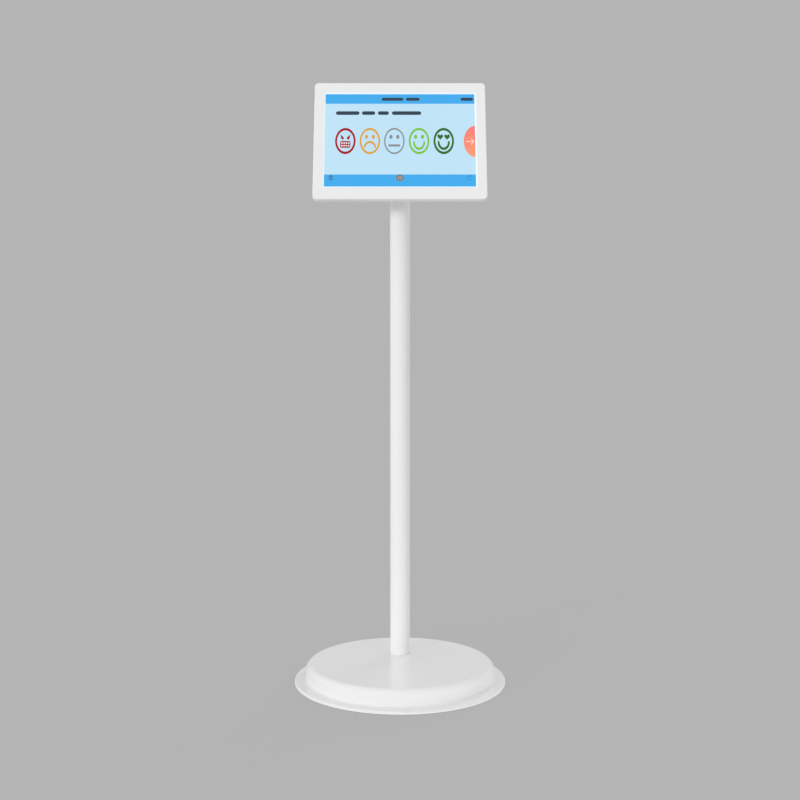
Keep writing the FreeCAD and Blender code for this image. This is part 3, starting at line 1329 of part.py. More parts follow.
def make_case_screws():
    body = new_body("case_screws", HEAD)
    seat = f"({CHASSIS_BACK} - case_well_floor)"
    outside = f"{seat} - case_screw_head_height"
    heads = grid_of_circles(POST_SPAN_X, POST_SPAN_Z, 2, 3, "case_screw_head")
    shanks = grid_of_circles(POST_SPAN_X, POST_SPAN_Z, 2, 3, "case_screw_radius")
    pad(body, FRONT, heads, outside, seat)
    pad(body, FRONT, shanks, seat, f"{seat} + case_screw_length")


# ---------------------------------------------------------------- whole kiosk

def build():
    make_base_cover()
    make_ballast_plate()
    make_rubber_feet()
    make_cover_posts()
    make_cover_screws()
    make_pole_socket()
    make_socket_screws()
    make_grommet("base_grommet", Frame("0", DOME_RADIUS, "skirt_grommet_height", "0"),
                 DOME_RADIUS, "cover_gauge")
    make_pole_tube()
    make_grub_screws()
    make_grommet("pole_grommet", Frame("0", "pole_setback + pole_radius", "pivot_height - pole_grommet_drop", "0"),
                 "pole_radius", "pole_wall")
    make_pole_head()
    make_pole_head_screws()
    make_tilt_stop_pin()
    make_tilt_bracket()
    make_pivot_bolt()
    make_pivot_springs()
    make_pivot_nut()
    make_friction_washers()
    make_vesa_plate()
    make_vesa_screws()
    make_swivel_bolt()
    make_swivel_rings()
    make_swivel_nut()
    make_turn_stop_pin()
    make_front_bezel()
    make_glass_gasket()
    make_touch_glass()
    make_lcd_panel()
    make_backlight()
    make_chassis_plate()
    make_vesa_pillars()
    make_rear_cover()
    make_case_screws()
    make_main_board()
    make_heat_spreader()
    make_board_fixings()
    make_dc_inlet()
    make_usb_port("usb_a", "0")
    make_usb_port("usb_c", "port_pitch")
    make_speakers()
    make_antenna()
    make_display_flex()
    make_button_board()
    make_power_button()
    make_volume_rocker()
    make_rocker_pin()


def check():
    """Stop on a failed object, an empty or invalid shape, or a cut that removed nothing."""
    for item in document.Objects:
        if "Invalid" in item.State or "Error" in item.State:
            raise RuntimeError(f"{item.Label} failed: {item.State}")
        if item.TypeId in ("PartDesign::Pocket", "PartDesign::SubtractiveLoft"):
            if item.Shape.Volume > item.BaseFeature.Shape.Volume - 0.01:
                raise RuntimeError(f"{item.Label} cut nothing")
    for part in parts:
        if part.Shape.isNull() or not part.Shape.isValid() or not part.Shape.Solids:
            raise RuntimeError(f"{part.Label} has no valid solid")


def export():
    os.makedirs("parts", exist_ok=True)
    for part in parts:
        part.Shape.exportStep(os.path.join("parts", f"{part.Label}.step"))


build()
document.recompute()
check()
export()
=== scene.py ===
import json
import math

import bmesh
import bpy
from mathutils import Matrix, Vector


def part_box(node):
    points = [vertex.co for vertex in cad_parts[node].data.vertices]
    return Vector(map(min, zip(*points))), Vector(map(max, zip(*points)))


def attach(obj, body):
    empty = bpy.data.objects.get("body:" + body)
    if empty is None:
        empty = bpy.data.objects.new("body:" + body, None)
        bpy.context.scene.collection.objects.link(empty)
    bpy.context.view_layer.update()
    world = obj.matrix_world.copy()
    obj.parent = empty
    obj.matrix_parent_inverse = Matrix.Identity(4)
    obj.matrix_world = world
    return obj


# A free-standing feedback kiosk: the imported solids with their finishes, and the picture on its
# screen.  Lengths are metres.  +Z is up, +X is to the viewer's right and the screen faces -Y.

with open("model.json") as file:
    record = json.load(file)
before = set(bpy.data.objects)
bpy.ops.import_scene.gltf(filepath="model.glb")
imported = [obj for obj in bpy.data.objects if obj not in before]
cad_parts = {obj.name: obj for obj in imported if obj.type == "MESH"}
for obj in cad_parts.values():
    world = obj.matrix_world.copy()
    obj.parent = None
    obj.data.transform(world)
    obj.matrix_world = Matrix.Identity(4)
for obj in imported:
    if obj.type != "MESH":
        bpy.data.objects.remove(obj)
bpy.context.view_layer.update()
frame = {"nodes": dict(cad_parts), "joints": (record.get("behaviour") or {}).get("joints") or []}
NODES = frame["nodes"]
JOINTS = {joint["name"]: joint for joint in frame["joints"]}

MM = 0.001
SIDES = (-1, 1)

# The camera.  Its lens and its sensor are in millimetres.
CAMERA_PLACE = (0.0, -2.086, 0.647)
CAMERA_PITCH_DOWN = math.radians(3.09)
CAMERA_LENS = 50
CAMERA_SENSOR = 36

# The surroundings.  The floor is seen in the background's grey: FLOOR_SHADE_SHARE of it takes the
# object's shadow, and the rest glows.  FLOOR_BOUNCE is how pale the floor is to the object, and
# FLOOR_GLOW is a soft reflector that lies beside the base: x, y, radius and brightness.
BACKGROUND = (180, 180, 180)
AMBIENT = 0.765
FLOOR_RADIUS = 40
FLOOR_SHADE_SHARE = 0.4
FLOOR_BOUNCE = 0.6
FLOOR_GLOW = (0.3, -0.22, 0.5, 1.1)

# The lamps: name, azimuth, elevation, strength and spread, with the angles in degrees.  Azimuth 0
# shines from the viewer's side, and 90 from the right.  At strength 1 a surface that faces the
# lamp shows its colour as it is written.
LAMPS = (
    ("key", -38, 5, 0.33, 12),
    ("back", 150, 14, 0.2, 30),
)


# ---------------------------------------------------------------- colours and nodes


def linear(colour):
    """An sRGB colour from 0 to 255 as linear red, green, blue and alpha."""
    values = [channel / 255 for channel in colour]
    return (*(v / 12.92 if v <= 0.04045 else ((v + 0.055) / 1.055) ** 2.4 for v in values), 1.0)


def shaded(colour, factor):
    """The colour as linear values, scaled by the factor."""
    red, green, blue, alpha = linear(colour)
    return (red * factor, green * factor, blue * factor, alpha)


def grey(value):
    """A linear grey."""
    return (value, value, value, 1)


def set_inputs(node, values):
    """Set the node's input sockets, each given by its name or number."""
    for socket, value in values.items():
        node.inputs[socket].default_value = value


def add_node(tree, kind, values=None):
    """A new node, with those values on its input sockets."""
    node = tree.nodes.new(kind)
    set_inputs(node, values or {})
    return node


# ---------------------------------------------------------------- finishes

# Most of a noise texture lies between these two values.
NOISE_LOW, NOISE_HIGH = 0.3, 0.7


class Finish:
    """A material with one Principled shader, and the textures that feed it."""

    def __init__(self, name, colour, roughness, metallic=0.0):
        self.material = bpy.data.materials.new(name)
        self.material.use_nodes = True
        self.tree = self.material.node_tree
        self.shader = next(n for n in self.tree.nodes if n.type == "BSDF_PRINCIPLED")
        self.colour = colour
        set_inputs(self.shader, {"Base Color": linear(colour), "Roughness": roughness,
                                 "Metallic": metallic})
        self.place = self.node("ShaderNodeTexCoord").outputs["Object"]

    def node(self, kind, values=None):
        return add_node(self.tree, kind, values)

    def link(self, start, end):
        self.tree.links.new(start, end)

    def feed(self, socket, output):
        """Link an output to one of the shader's sockets."""
        self.link(output, self.shader.inputs[socket])

    def stretched(self, stretch):
        """The object's coordinates, scaled along each axis."""
        mapping = self.node("ShaderNodeMapping", {"Scale": stretch})
        self.link(self.place, mapping.inputs["Vector"])
        return mapping.outputs["Vector"]

    def noise(self, scale, detail=3.0, stretch=(1, 1, 1)):
        """Noise with about scale features in a metre, from 0 to 1."""
        texture = self.node("ShaderNodeTexNoise", {"Scale": scale, "Detail": detail})
        self.link(self.stretched(stretch), texture.inputs["Vector"])
        return texture.outputs["Fac"]

    def cells(self, scale):
        """Voronoi cells, about scale of them in a metre: the distance from each cell's centre."""
        texture = self.node("ShaderNodeTexVoronoi", {"Scale": scale})
        self.link(self.place, texture.inputs["Vector"])
        return texture.outputs["Distance"]

    def between(self, value, low, high, start=NOISE_LOW, end=NOISE_HIGH):
        """The value spread from start..end to low..high."""
        spread = self.node("ShaderNodeMapRange", {"From Min": start, "From Max": end,
                                                  "To Min": low, "To Max": high})
        self.link(value, spread.inputs["Value"])
        return spread.outputs["Result"]

    def blend(self, value, low, high, start=NOISE_LOW, end=NOISE_HIGH):
        """The colour that goes from low to high as the value goes from start to end."""
        ramp = self.node("ShaderNodeValToRGB")
        first, last = ramp.color_ramp.elements
        first.position, first.color = start, low
        last.position, last.color = end, high
        self.link(value, ramp.inputs["Fac"])
        return ramp.outputs["Color"]

    def tone(self, value, low, high):
        """The colour goes from low to high times its own as the texture goes up."""
        self.feed("Base Color",
                  self.blend(value, shaded(self.colour, low), shaded(self.colour, high)))

    def polish(self, value, low, high):
        """The roughness goes from low to high as the texture goes up."""
        self.feed("Roughness", self.between(value, low, high))

    def grain(self, value, height, strength):
        """The surface rises by height, in metres, where the texture is high."""
        bump = self.node("ShaderNodeBump", {"Distance": height, "Strength": strength})
        self.link(value, bump.inputs["Height"])
        self.feed("Normal", bump.outputs["Normal"])


def powder_coat(name, colour, roughness):
    """Stoved paint on steel, with a faint orange peel."""
    finish = Finish(name, colour, roughness)
    finish.tone(finish.noise(9), low=0.994, high=1.0)
    finish.polish(finish.noise(24), low=roughness - 0.04, high=roughness + 0.05)
    finish.grain(finish.noise(420, detail=2), height=0.00004, strength=0.35)
    return finish.material


def moulded_plastic(name, colour, roughness, grain_scale=1800, grain_height=0.00003):
    """Moulded plastic with a fine spark-eroded grain."""
    finish = Finish(name, colour, roughness)
    finish.tone(finish.noise(14), low=0.994, high=1.0)
    finish.polish(finish.noise(60), low=roughness - 0.02, high=roughness + 0.02)
    finish.grain(finish.noise(grain_scale, detail=4), height=grain_height, strength=0.5)
    return finish.material


def rubber(name, colour):
    """Dull rubber, a little mottled."""
    finish = Finish(name, colour, roughness=0.75)
    finish.tone(finish.noise(120), low=0.8, high=1.2)
    finish.grain(finish.noise(2600, detail=4), height=0.00005, strength=0.6)
    return finish.material


def foam(name, colour):
    """Closed-cell foam strip."""
    finish = Finish(name, colour, roughness=0.95)
    cells = finish.cells(1400)
    finish.tone(cells, low=0.6, high=1.2)
    finish.grain(cells, height=0.0002, strength=0.8)
    return finish.material


def turned_steel(name, colour, roughness):
    """Zinc-plated steel: fine tool marks and a mottled plating."""
    finish = Finish(name, colour, roughness, metallic=1.0)
    finish.tone(finish.noise(260), low=0.85, high=1.05)
    finish.polish(finish.noise(700, stretch=(1, 1, 6)), low=roughness - 0.08, high=roughness + 0.1)
    finish.grain(finish.noise(900, stretch=(1, 1, 8)), height=0.00001, strength=0.4)
    return finish.material


def sheet_metal(name, colour, roughness):
    """Rolled sheet with grain along X and pale spangles."""
    finish = Finish(name, colour, roughness, metallic=1.0)
    finish.tone(finish.cells(90), low=0.88, high=1.05)
    rolled = finish.noise(500, stretch=(0.05, 1, 1))
    finish.polish(rolled, low=roughness - 0.08, high=roughness + 0.1)
    finish.grain(finish.noise(1200, stretch=(0.03, 1, 1)), height=0.00001, strength=0.4)
    return finish.material


def circuit_board(name, colour):
    """Solder mask with the copper tracks showing faintly through it."""
    finish = Finish(name, colour, roughness=0.35)
    tracks = finish.node("ShaderNodeTexBrick", {
        "Scale": 160,
        "Mortar Size": 0.06,
        "Color1": shaded(colour, 1.0),
        "Color2": shaded(colour, 0.8),
        "Mortar": shaded(colour, 1.7),
    })
    finish.link(finish.place, tracks.inputs["Vector"])
    finish.feed("Base Color", tracks.outputs["Color"])
    finish.grain(tracks.outputs["Fac"], height=0.00003, strength=0.3)
    return finish.material


def finned_alloy(name, colour):
    """Black anodised extrusion with lengthwise lines."""
    finish = Finish(name, colour, roughness=0.4, metallic=0.8)
    finish.tone(finish.noise(80, stretch=(1, 1, 0.1)), low=0.8, high=1.2)
    finish.grain(finish.noise(900, stretch=(1, 1, 0.05)), height=0.00001, strength=0.4)
    return finish.material


def printed_film(name, colour):
    """Polyimide film with its conductors as lengthwise lines."""
    finish = Finish(name, colour, roughness=0.3)
    finish.tone(finish.noise(1500, detail=1, stretch=(1, 0.02, 0.02)), low=0.7, high=1.1)
    return finish.material


def clear_plate(name, colour):
    """A smooth clear plate, such as the panel and its light guide."""
    finish = Finish(name, colour, roughness=0.12)
    finish.tone(finish.noise(30), low=0.97, high=1.0)
    return finish.material


def screen_glass(name, colour):
    """Toughened glass over a dark border, with faint smears in its polish."""
    finish = Finish(name, colour, roughness=0.06)
    finish.polish(finish.noise(20), low=0.03, high=0.09)
    return finish.material


WHITE_PAINT = (244, 244, 245)
WHITE_PLASTIC = (245, 245, 246)

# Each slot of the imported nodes: the kind of finish, its colour, and what else that kind asks for
SLOT_FINISHES = {
    "base_paint": (powder_coat, WHITE_PAINT, 0.2),
    "pole_paint": (powder_coat, WHITE_PAINT, 0.36),
    "joint_paint": (powder_coat, WHITE_PAINT, 0.34),
    "ballast_steel": (powder_coat, (58, 60, 63), 0.5),
    "foot_rubber": (rubber, (34, 34, 36)),
    "zinc_steel": (turned_steel, (198, 200, 204), 0.3),
    "friction_plastic": (moulded_plastic, (226, 222, 210), 0.5),
    "bezel_white": (moulded_plastic, WHITE_PLASTIC, 0.3, 1500, 0.00001),
    "cover_white": (moulded_plastic, WHITE_PLASTIC, 0.46, 1300, 0.00005),
    "key_grey": (moulded_plastic, (168, 171, 176), 0.4),
    "gasket_foam": (foam, (38, 38, 40)),
    "cover_glass": (screen_glass, (14, 15, 18)),
    "lit_screen": (clear_plate, (190, 200, 210)),
    "clear_plate": (clear_plate, (222, 226, 230)),
    "sheet_steel": (sheet_metal, (190, 193, 197), 0.38),
    "board_green": (circuit_board, (24, 92, 58)),
    "heatsink_alloy": (finned_alloy, (44, 45, 48)),
    "port_metal": (turned_steel, (205, 206, 208), 0.28),
    "black_plastic": (moulded_plastic, (28, 28, 30), 0.42),
    "flex_film": (printed_film, (176, 108, 40)),
}

SLOT_MATERIALS = {slot: kind(f"finish_{slot}", *details)
                  for slot, (kind, *details) in SLOT_FINISHES.items()}


def dress_nodes():
    """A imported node's material carries its slot's name; that slot's finish takes its place."""
    for obj in NODES.values():
        for place in obj.material_slots:
            place.material = SLOT_MATERIALS[place.material.name]


# ---------------------------------------------------------------- the screen's own frame


def screen_frame():
    """The matrix from screen millimetres (x right, y up, z to the viewer) to the row frame."""
    normal = Vector(JOINTS["head_turn"]["axis"]).normalized()
    right = Vector((1, 0, 0))
    up = normal.cross(right)
    low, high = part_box("touch_glass")
    centre = (low + high) / 2
    front = max(vertex.co.dot(normal) for vertex in NODES["touch_glass"].data.vertices)
    centre += normal * (front - centre.dot(normal))
    turn = Matrix((right, up, normal)).transposed().to_4x4()
    return Matrix.Translation(centre) @ turn @ Matrix.Diagonal((MM, MM, MM, 1))


SCREEN = screen_frame()


def ride_head(name, mesh, material):
    """Make an object from a mesh in screen millimetres; it moves with the head."""
    bmesh.ops.recalc_face_normals(mesh, faces=mesh.faces)
    mesh.transform(SCREEN)
    data = bpy.data.meshes.new(name)
    mesh.to_mesh(data)
    mesh.free()
    data.materials.append(material)
    obj = bpy.data.objects.new(name, data)
    bpy.context.scene.collection.objects.link(obj)
    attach(obj, "head")


def join_loops(mesh, first, second):
    """Faces between two closed loops with the same number of points."""
    for i in range(len(first)):
        j = (i + 1) % len(first)
        mesh.faces.new((first[i], first[j], second[j], second[i]))


# ---------------------------------------------------------------- outlines, as lists of (x, y)

CORNER_STEPS = 6
END_STEPS = 8


def ellipse(x, y, wide, tall, start=0.0, sweep=360.0, steps=64):
    """Points round an ellipse of those radii, or along the part that the sweep takes."""
    count = steps if abs(sweep) >= 360 else steps + 1
    angles = [math.radians(start + sweep * i / steps) for i in range(count)]
    return [(x + wide * math.cos(a), y + tall * math.sin(a)) for a in angles]


def rounded_box(x, y, wide, tall, corner):
    """A rectangle round x, y with rounded corners."""
    points = []
    for turn, (side, end) in enumerate(((1, 1), (-1, 1), (-1, -1), (1, -1))):
        middle_x = x + side * (wide / 2 - corner)
        middle_y = y + end * (tall / 2 - corner)
        points += ellipse(middle_x, middle_y, corner, corner, 90 * turn, 90, CORNER_STEPS)
    return points


def round_end(centre, radius, start):
    """A half circle that runs clockwise, without its first and last points."""
    return ellipse(*centre, radius, radius, start, -180, END_STEPS)[1:-1]


def stroke(points, thickness):
    """The outline of a line of that thickness along the points, with round ends."""
    half = thickness / 2
    neighbours = zip([points[0], *points], [*points[1:], points[-1]])
    angles = [math.atan2(after[1] - before[1], after[0] - before[0])
              for before, after in neighbours]
    left = [(x - half * math.sin(a), y + half * math.cos(a)) for (x, y), a in zip(points, angles)]
    right = [(x + half * math.sin(a), y - half * math.cos(a)) for (x, y), a in zip(points, angles)]
    start_cap = round_end(points[0], half, math.degrees(angles[0]) + 270)
    end_cap = round_end(points[-1], half, math.degrees(angles[-1]) + 90)
    return start_cap + left + end_cap + right[::-1]


# ---------------------------------------------------------------- the picture on the screen

# Lengths here are millimetres from the screen's centre.  A plate is as many layers thick as its
# level says, so a plate of a higher level shows over those below it.
WINDOW_WIDTH = 277
WINDOW_HEIGHT = 189
WINDOW_CORNER = 0.8
SCREEN_WIDTH = 278.6
SCREEN_HEIGHT = 190.6
LAYER = 0.06
GROUND_LEVEL = 1
TEETH_LEVEL = 1.5
SHAPE_LEVEL = 2
MARK_LEVEL = 3
TOP_LEVEL = 4

# The picture's colours, each by the name of its piece
INKS = {
    "picture_ground": (193, 229, 249),
    "picture_bars": (62, 173, 240),
    "picture_words": (46, 62, 78),
    "face_very_unhappy_teeth": (252, 240, 244),
    "face_very_unhappy": (170, 0, 26),
    "face_unhappy": (226, 163, 40),
    "face_neutral": (138, 141, 144),
    "face_happy": (120, 198, 34),
    "face_very_happy": (34, 108, 6),
    "next_arrow": (255, 226, 214),
    "settings_mark": (84, 106, 118),
    "home_mark": (128, 124, 122),
    "home_mark_bars": (184, 172, 160),
    "home_mark_rule": (84, 150, 205),
    "refresh_mark": (40, 112, 178),
}


def lit_finish(name):
    """A part of the lit screen, seen through the glass: it glows, and it shines like glass."""
    finish = Finish(name, (0, 0, 0), roughness=0.08)
    set_inputs(finish.shader, {"Emission Strength": 1.0})
    finish.polish(finish.noise(20), low=0.05, high=0.1)
    return finish


def picture_paint(name):
    """The ink of the piece with that name, a little uneven."""
    finish = lit_finish(name)
    glow = finish.blend(finish.noise(6), shaded(INKS[name], 0.965), shaded(INKS[name], 0.985))
    finish.feed("Emission Color", glow)
    return finish.material


class Picture:
    """One piece of the screen's picture: thin plates on the glass."""

    def __init__(self, name, level):
        self.name = name
        self.mesh = bmesh.new()
        self.top = LAYER * level

    def plate(self, outline, holes=()):
        """Add a plate with that outline and those holes."""
        rims = []
        for height in (0.0, self.top):
            loops = [[self.mesh.verts.new((x, y, height)) for x, y in loop]
                     for loop in (outline, *holes)]
            edges = [self.mesh.edges.new(pair)
                     for loop in loops for pair in zip(loop, loop[1:] + loop[:1])]
            bmesh.ops.triangle_fill(self.mesh, edges=edges, use_beauty=True)
            rims.append(loops)
        for lower, upper in zip(*rims):
            join_loops(self.mesh, lower, upper)

    def done(self, material=None):
        """Put the plates on the screen, in that material or else in the piece's ink."""
        ride_head(self.name, self.mesh, material or picture_paint(self.name))


HEADER_BOTTOM = 74.8
FOOTER_TOP = -70.0


def make_bars():
    """The sky-blue ground and the darker bars along its top and bottom."""
    ground = Picture("picture_ground", GROUND_LEVEL)
    ground.plate(rounded_box(0, 0, SCREEN_WIDTH, SCREEN_HEIGHT, WINDOW_CORNER))
    ground.done()
    bars = Picture("picture_bars", SHAPE_LEVEL)
    for low, high in ((HEADER_BOTTOM, SCREEN_HEIGHT / 2), (-SCREEN_HEIGHT / 2, FOOTER_TOP)):
        bars.plate(rounded_box(0, (low + high) / 2, SCREEN_WIDTH, high - low, WINDOW_CORNER))
    bars.done()


# The words: their height above the centre, how tall they are, and where each begins and ends
HEADING = (55.4, 7.4, ((-118.8, -75.0), (-70.6, -46.0), (-41.0, -20.6), (-15.0, 39.4)))
HEADER = (84.2, 6.2, ((-34.0, 6.1), (11.1, 36.6), (112.8, 136.0)))
# A word's height in corner radii: a little over 2, so that no two points of its ends meet
WORD_ROUNDING = 2.01


def make_words():
    """Plain bars where the words stand, one for each word."""
    words = Picture("picture_words", MARK_LEVEL)
    for y, tall, spans in (HEADING, HEADER):
        for left, right in spans:
            middle = (left + right) / 2
            words.plate(rounded_box(middle, y, right - left, tall, tall / WORD_ROUNDING))
    words.done()


# ---------------------------------------------------------------- the five faces

FACE_Y = -2.1
FACE_WIDE = 18.85
FACE_TALL = 26.8

# What is in a face is drawn in a unit circle.  A box is x, y, width and height, an arc is x, y and
# its radii, and a shape is an outline and its holes.
FACE_LINE = 0.165
BOLD_LINE = 0.19
THIN_LINE = 0.125
EYE_X, EYE_Y, EYE_RADIUS = 0.335, 0.32, 0.155
EYE_STEPS = 24
HEART_SIZE, HEART_TALL = 0.28, 0.86
HEART_STEPS = 40
ANGRY_EYE_TIP = (0.5, 0.52)
ANGRY_EYE_ARC = (0.28, 0.22, 0.13, 0.11)
ANGRY_EYE_SWEEP = 230
ANGRY_EYE_STEPS = 12
SMILE_ARC = (0, -0.09, 0.5, 0.5)
FROWN_ARC = (0, -0.5, 0.52, 0.42)
ARC_STEPS = 28
LEVEL_MOUTH_LINE = ((-0.5, -0.34), (0.5, -0.34))
TEETH_BOX = (0.0, -0.26, 1.0, 0.52)
TEETH_FRAME = 0.1
TEETH_GAP = 0.085
TEETH_COLUMNS, TEETH_ROWS = 4, 2
FRAME_CORNER, FILL_CORNER, TOOTH_CORNER = 0.13, 0.06, 0.02


def heart(x, y, size):
    """A heart with its lobes up, as wide as twice the size, from the usual heart curve."""
    points = []
    for i in range(HEART_STEPS):
        t = math.radians(360 / HEART_STEPS * i)
        wide = math.sin(t) ** 3
        tall = (13 * math.cos(t) - 5 * math.cos(2 * t) - 2 * math.cos(3 * t) - math.cos(4 * t)) / 16
        points.append((x + size * wide, y + size * HEART_TALL * tall))
    return points


def angry_eye(side):
    """A slanted eye, pointed at its outer end and round at its inner end."""
    tip_x, tip_y = ANGRY_EYE_TIP
    x, y, wide, tall = ANGRY_EYE_ARC
    start = 0 if side > 0 else 180
    arc = ellipse(side * x, y, wide, tall, start, -side * ANGRY_EYE_SWEEP, ANGRY_EYE_STEPS)
    return [(side * tip_x, tip_y), *arc]


def smile(thickness):
    """A half ring, open at its top."""
    return (stroke(ellipse(*SMILE_ARC, start=180, sweep=180, steps=ARC_STEPS), thickness),)


def clenched_teeth():
    """A rounded frame with bars across it, and a hole for each tooth."""
    x, y, wide, tall = TEETH_BOX
    step_x = (wide - 2 * TEETH_FRAME + TEETH_GAP) / TEETH_COLUMNS
    step_y = (tall - 2 * TEETH_FRAME + TEETH_GAP) / TEETH_ROWS
    holes = []
    for column in range(TEETH_COLUMNS):
        for row in range(TEETH_ROWS):
            middle_x = x + step_x * (column - (TEETH_COLUMNS - 1) / 2)
            middle_y = y + step_y * (row - (TEETH_ROWS - 1) / 2)
            holes.append(rounded_box(middle_x, middle_y, step_x - TEETH_GAP, step_y - TEETH_GAP,
                                     TOOTH_CORNER))
    return (rounded_box(x, y, wide, tall, FRAME_CORNER), *holes)


ROUND_EYES = [(ellipse(side * EYE_X, EYE_Y, EYE_RADIUS, EYE_RADIUS, steps=EYE_STEPS),)
              for side in SIDES]
HEART_EYES = [(heart(side * EYE_X, EYE_Y, HEART_SIZE),) for side in SIDES]
ANGRY_EYES = [(angry_eye(side),) for side in SIDES]
FROWN = (stroke(ellipse(*FROWN_ARC, start=175, sweep=-170, steps=ARC_STEPS), FACE_LINE),)
LEVEL_MOUTH = (stroke(LEVEL_MOUTH_LINE, FACE_LINE),)

# Each face: its centre's x, the ring's thickness, and the shapes in it
FACES = {
    "face_very_unhappy": (-100.6, BOLD_LINE, [*ANGRY_EYES, clenched_teeth()]),
    "face_unhappy": (-55.4, FACE_LINE, [*ROUND_EYES, FROWN]),
    "face_neutral": (-10.4, THIN_LINE, [*ROUND_EYES, LEVEL_MOUTH]),
    "face_happy": (35.1, FACE_LINE, [*ROUND_EYES, smile(FACE_LINE)]),
    "face_very_happy": (80.5, BOLD_LINE, [*HEART_EYES, smile(BOLD_LINE)]),
}


def in_face(x, outline):
    """An outline in the unit circle, stretched to the face whose centre is at that x."""
    return [(x + FACE_WIDE * u, FACE_Y + FACE_TALL * v) for u, v in outline]


def make_teeth():
    """The white that shows through the very unhappy face's clenched teeth."""
    face_x = FACES["face_very_unhappy"][0]
    x, y, wide, tall = TEETH_BOX
    fill = Picture("face_very_unhappy_teeth", TEETH_LEVEL)
    box = rounded_box(x, y, wide - TEETH_FRAME, tall - TEETH_FRAME, FILL_CORNER)
    fill.plate(in_face(face_x, box))
    fill.done()


def make_face(name, x, thickness, shapes):
    """A ring with the eyes and the mouth in it."""
    face = Picture(name, SHAPE_LEVEL)
    inner = 1 - thickness
    ring = (ellipse(0, 0, 1, 1), ellipse(0, 0, inner, inner))
    for outline, *holes in (ring, *shapes):
        face.plate(in_face(x, outline), [in_face(x, hole) for hole in holes])
    face.done()


# ---------------------------------------------------------------- the next button

NEXT_X = 139.2
NEXT_Y = -2.9
NEXT_WIDE = 21.8
NEXT_TALL = 31.9
NEXT_STEPS = 48
NEXT_TOP = (254, 126, 124)
NEXT_BOTTOM = (253, 158, 112)
NEXT_BRIGHTNESS = 0.97
ARROW_LINE = 1.5
ARROW_SHAFT = (122.4, 134.9)
ARROW_TIP = 135.6
ARROW_BARB_X, ARROW_BARB_REACH = 131.2, 5.6


def next_button_paint():
    """Coral at the top, orange at the bottom."""
    finish = lit_finish("next_button")
    height = finish.node("ShaderNodeSeparateXYZ")
    finish.link(finish.place, height.inputs["Vector"])
    top = (SCREEN @ Vector((NEXT_X, NEXT_Y + NEXT_TALL, 0))).z
    bottom = (SCREEN @ Vector((NEXT_X, NEXT_Y - NEXT_TALL, 0))).z
    rise = finish.between(height.outputs["Z"], 0, 1, bottom, top)
    low, high = shaded(NEXT_BOTTOM, NEXT_BRIGHTNESS), shaded(NEXT_TOP, NEXT_BRIGHTNESS)
    finish.feed("Emission Color", finish.blend(rise, low, high, 0, 1))
    return finish.material


def make_next_button():
    """The half disc at the right edge, and its arrow."""
    start = math.degrees(math.acos((SCREEN_WIDTH / 2 - NEXT_X) / NEXT_WIDE))
    sweep = 360 - 2 * start
    button = Picture("next_button", SHAPE_LEVEL)
    button.plate(ellipse(NEXT_X, NEXT_Y, NEXT_WIDE, NEXT_TALL, start, sweep, NEXT_STEPS))
    button.done(next_button_paint())
    shaft = [(x, NEXT_Y) for x in ARROW_SHAFT]
    head = [(ARROW_BARB_X, NEXT_Y + ARROW_BARB_REACH), (ARROW_TIP, NEXT_Y),
            (ARROW_BARB_X, NEXT_Y - ARROW_BARB_REACH)]
    arrow = Picture("next_arrow", MARK_LEVEL)
    for line in (shaft, head):
        arrow.plate(stroke(line, ARROW_LINE))
    arrow.done()


# ---------------------------------------------------------------- the marks in the footer

FOOTER_Y = -76.7
SETTINGS_X = -126.1
SETTINGS_RADII = (3.7, 5.8)
SETTINGS_HOLE_RADII = (1.5, 2.4)
HOME_X = -0.3
HOME_RADII = (7, 6.9)
HOME_BARS_X = (-2.4, 1.8)
HOME_BAR_REACH = 2.6
HOME_BAR_LINE = 1.8
RULE_SPAN = (-20.5, -11.5)
RULE_LINE = 0.6
REFRESH_X = 126.7
REFRESH_RADII = (3.4, 4.2)
REFRESH_START, REFRESH_SWEEP = 60, 285
REFRESH_LINE = 0.8
REFRESH_BARB = ((130.3, 4.9), (130.1, 1.9), (127.4, 3.3))


def make_footer_marks():
    """A settings nut, a round button with two bars and a rule beside it, and a refresh arc."""
    y = FOOTER_Y
    nut = Picture("settings_mark", MARK_LEVEL)
    nut.plate(ellipse(SETTINGS_X, y, *SETTINGS_RADII, start=90, steps=6),
              [ellipse(SETTINGS_X, y, *SETTINGS_HOLE_RADII, steps=16)])
    nut.done()
    disc = Picture("home_mark", MARK_LEVEL)
    disc.plate(ellipse(HOME_X, y, *HOME_RADII, steps=40))
    disc.done()
    bars = Picture("home_mark_bars", TOP_LEVEL)
    for x in HOME_BARS_X:
        bars.plate(stroke([(x, y - HOME_BAR_REACH), (x, y + HOME_BAR_REACH)], HOME_BAR_LINE))
    bars.done()
    rule = Picture("home_mark_rule", MARK_LEVEL)
    rule.plate(stroke([(x, y) for x in RULE_SPAN], RULE_LINE))
    rule.done()
    arc = Picture("refresh_mark", MARK_LEVEL)
    turn = ellipse(REFRESH_X, y, *REFRESH_RADII, REFRESH_START, REFRESH_SWEEP, ARC_STEPS)
    arc.plate(stroke(turn, REFRESH_LINE))
    arc.plate([(x, y + rise) for x, rise in REFRESH_BARB])
    arc.done()


def make_picture():
    make_bars()
    make_words()
    make_teeth()
    for name, design in FACES.items():
        make_face(name, *design)
    make_next_button()
    make_footer_marks()


# ---------------------------------------------------------------- the window's edge

# The strip's section: how far outside the window each corner is, and how high above the glass
EDGE_SECTION = ((0.0, 0.5), (2.8, 2.55), (2.71, 2.67), (-0.09, 0.62))
# The strip's own pale colour, and its painted glow: emission that stands in for the screen's light
# on the bevel
EDGE_COLOUR = (190, 192, 194)
EDGE_PAINTED_GLOW = (168, 186, 190)


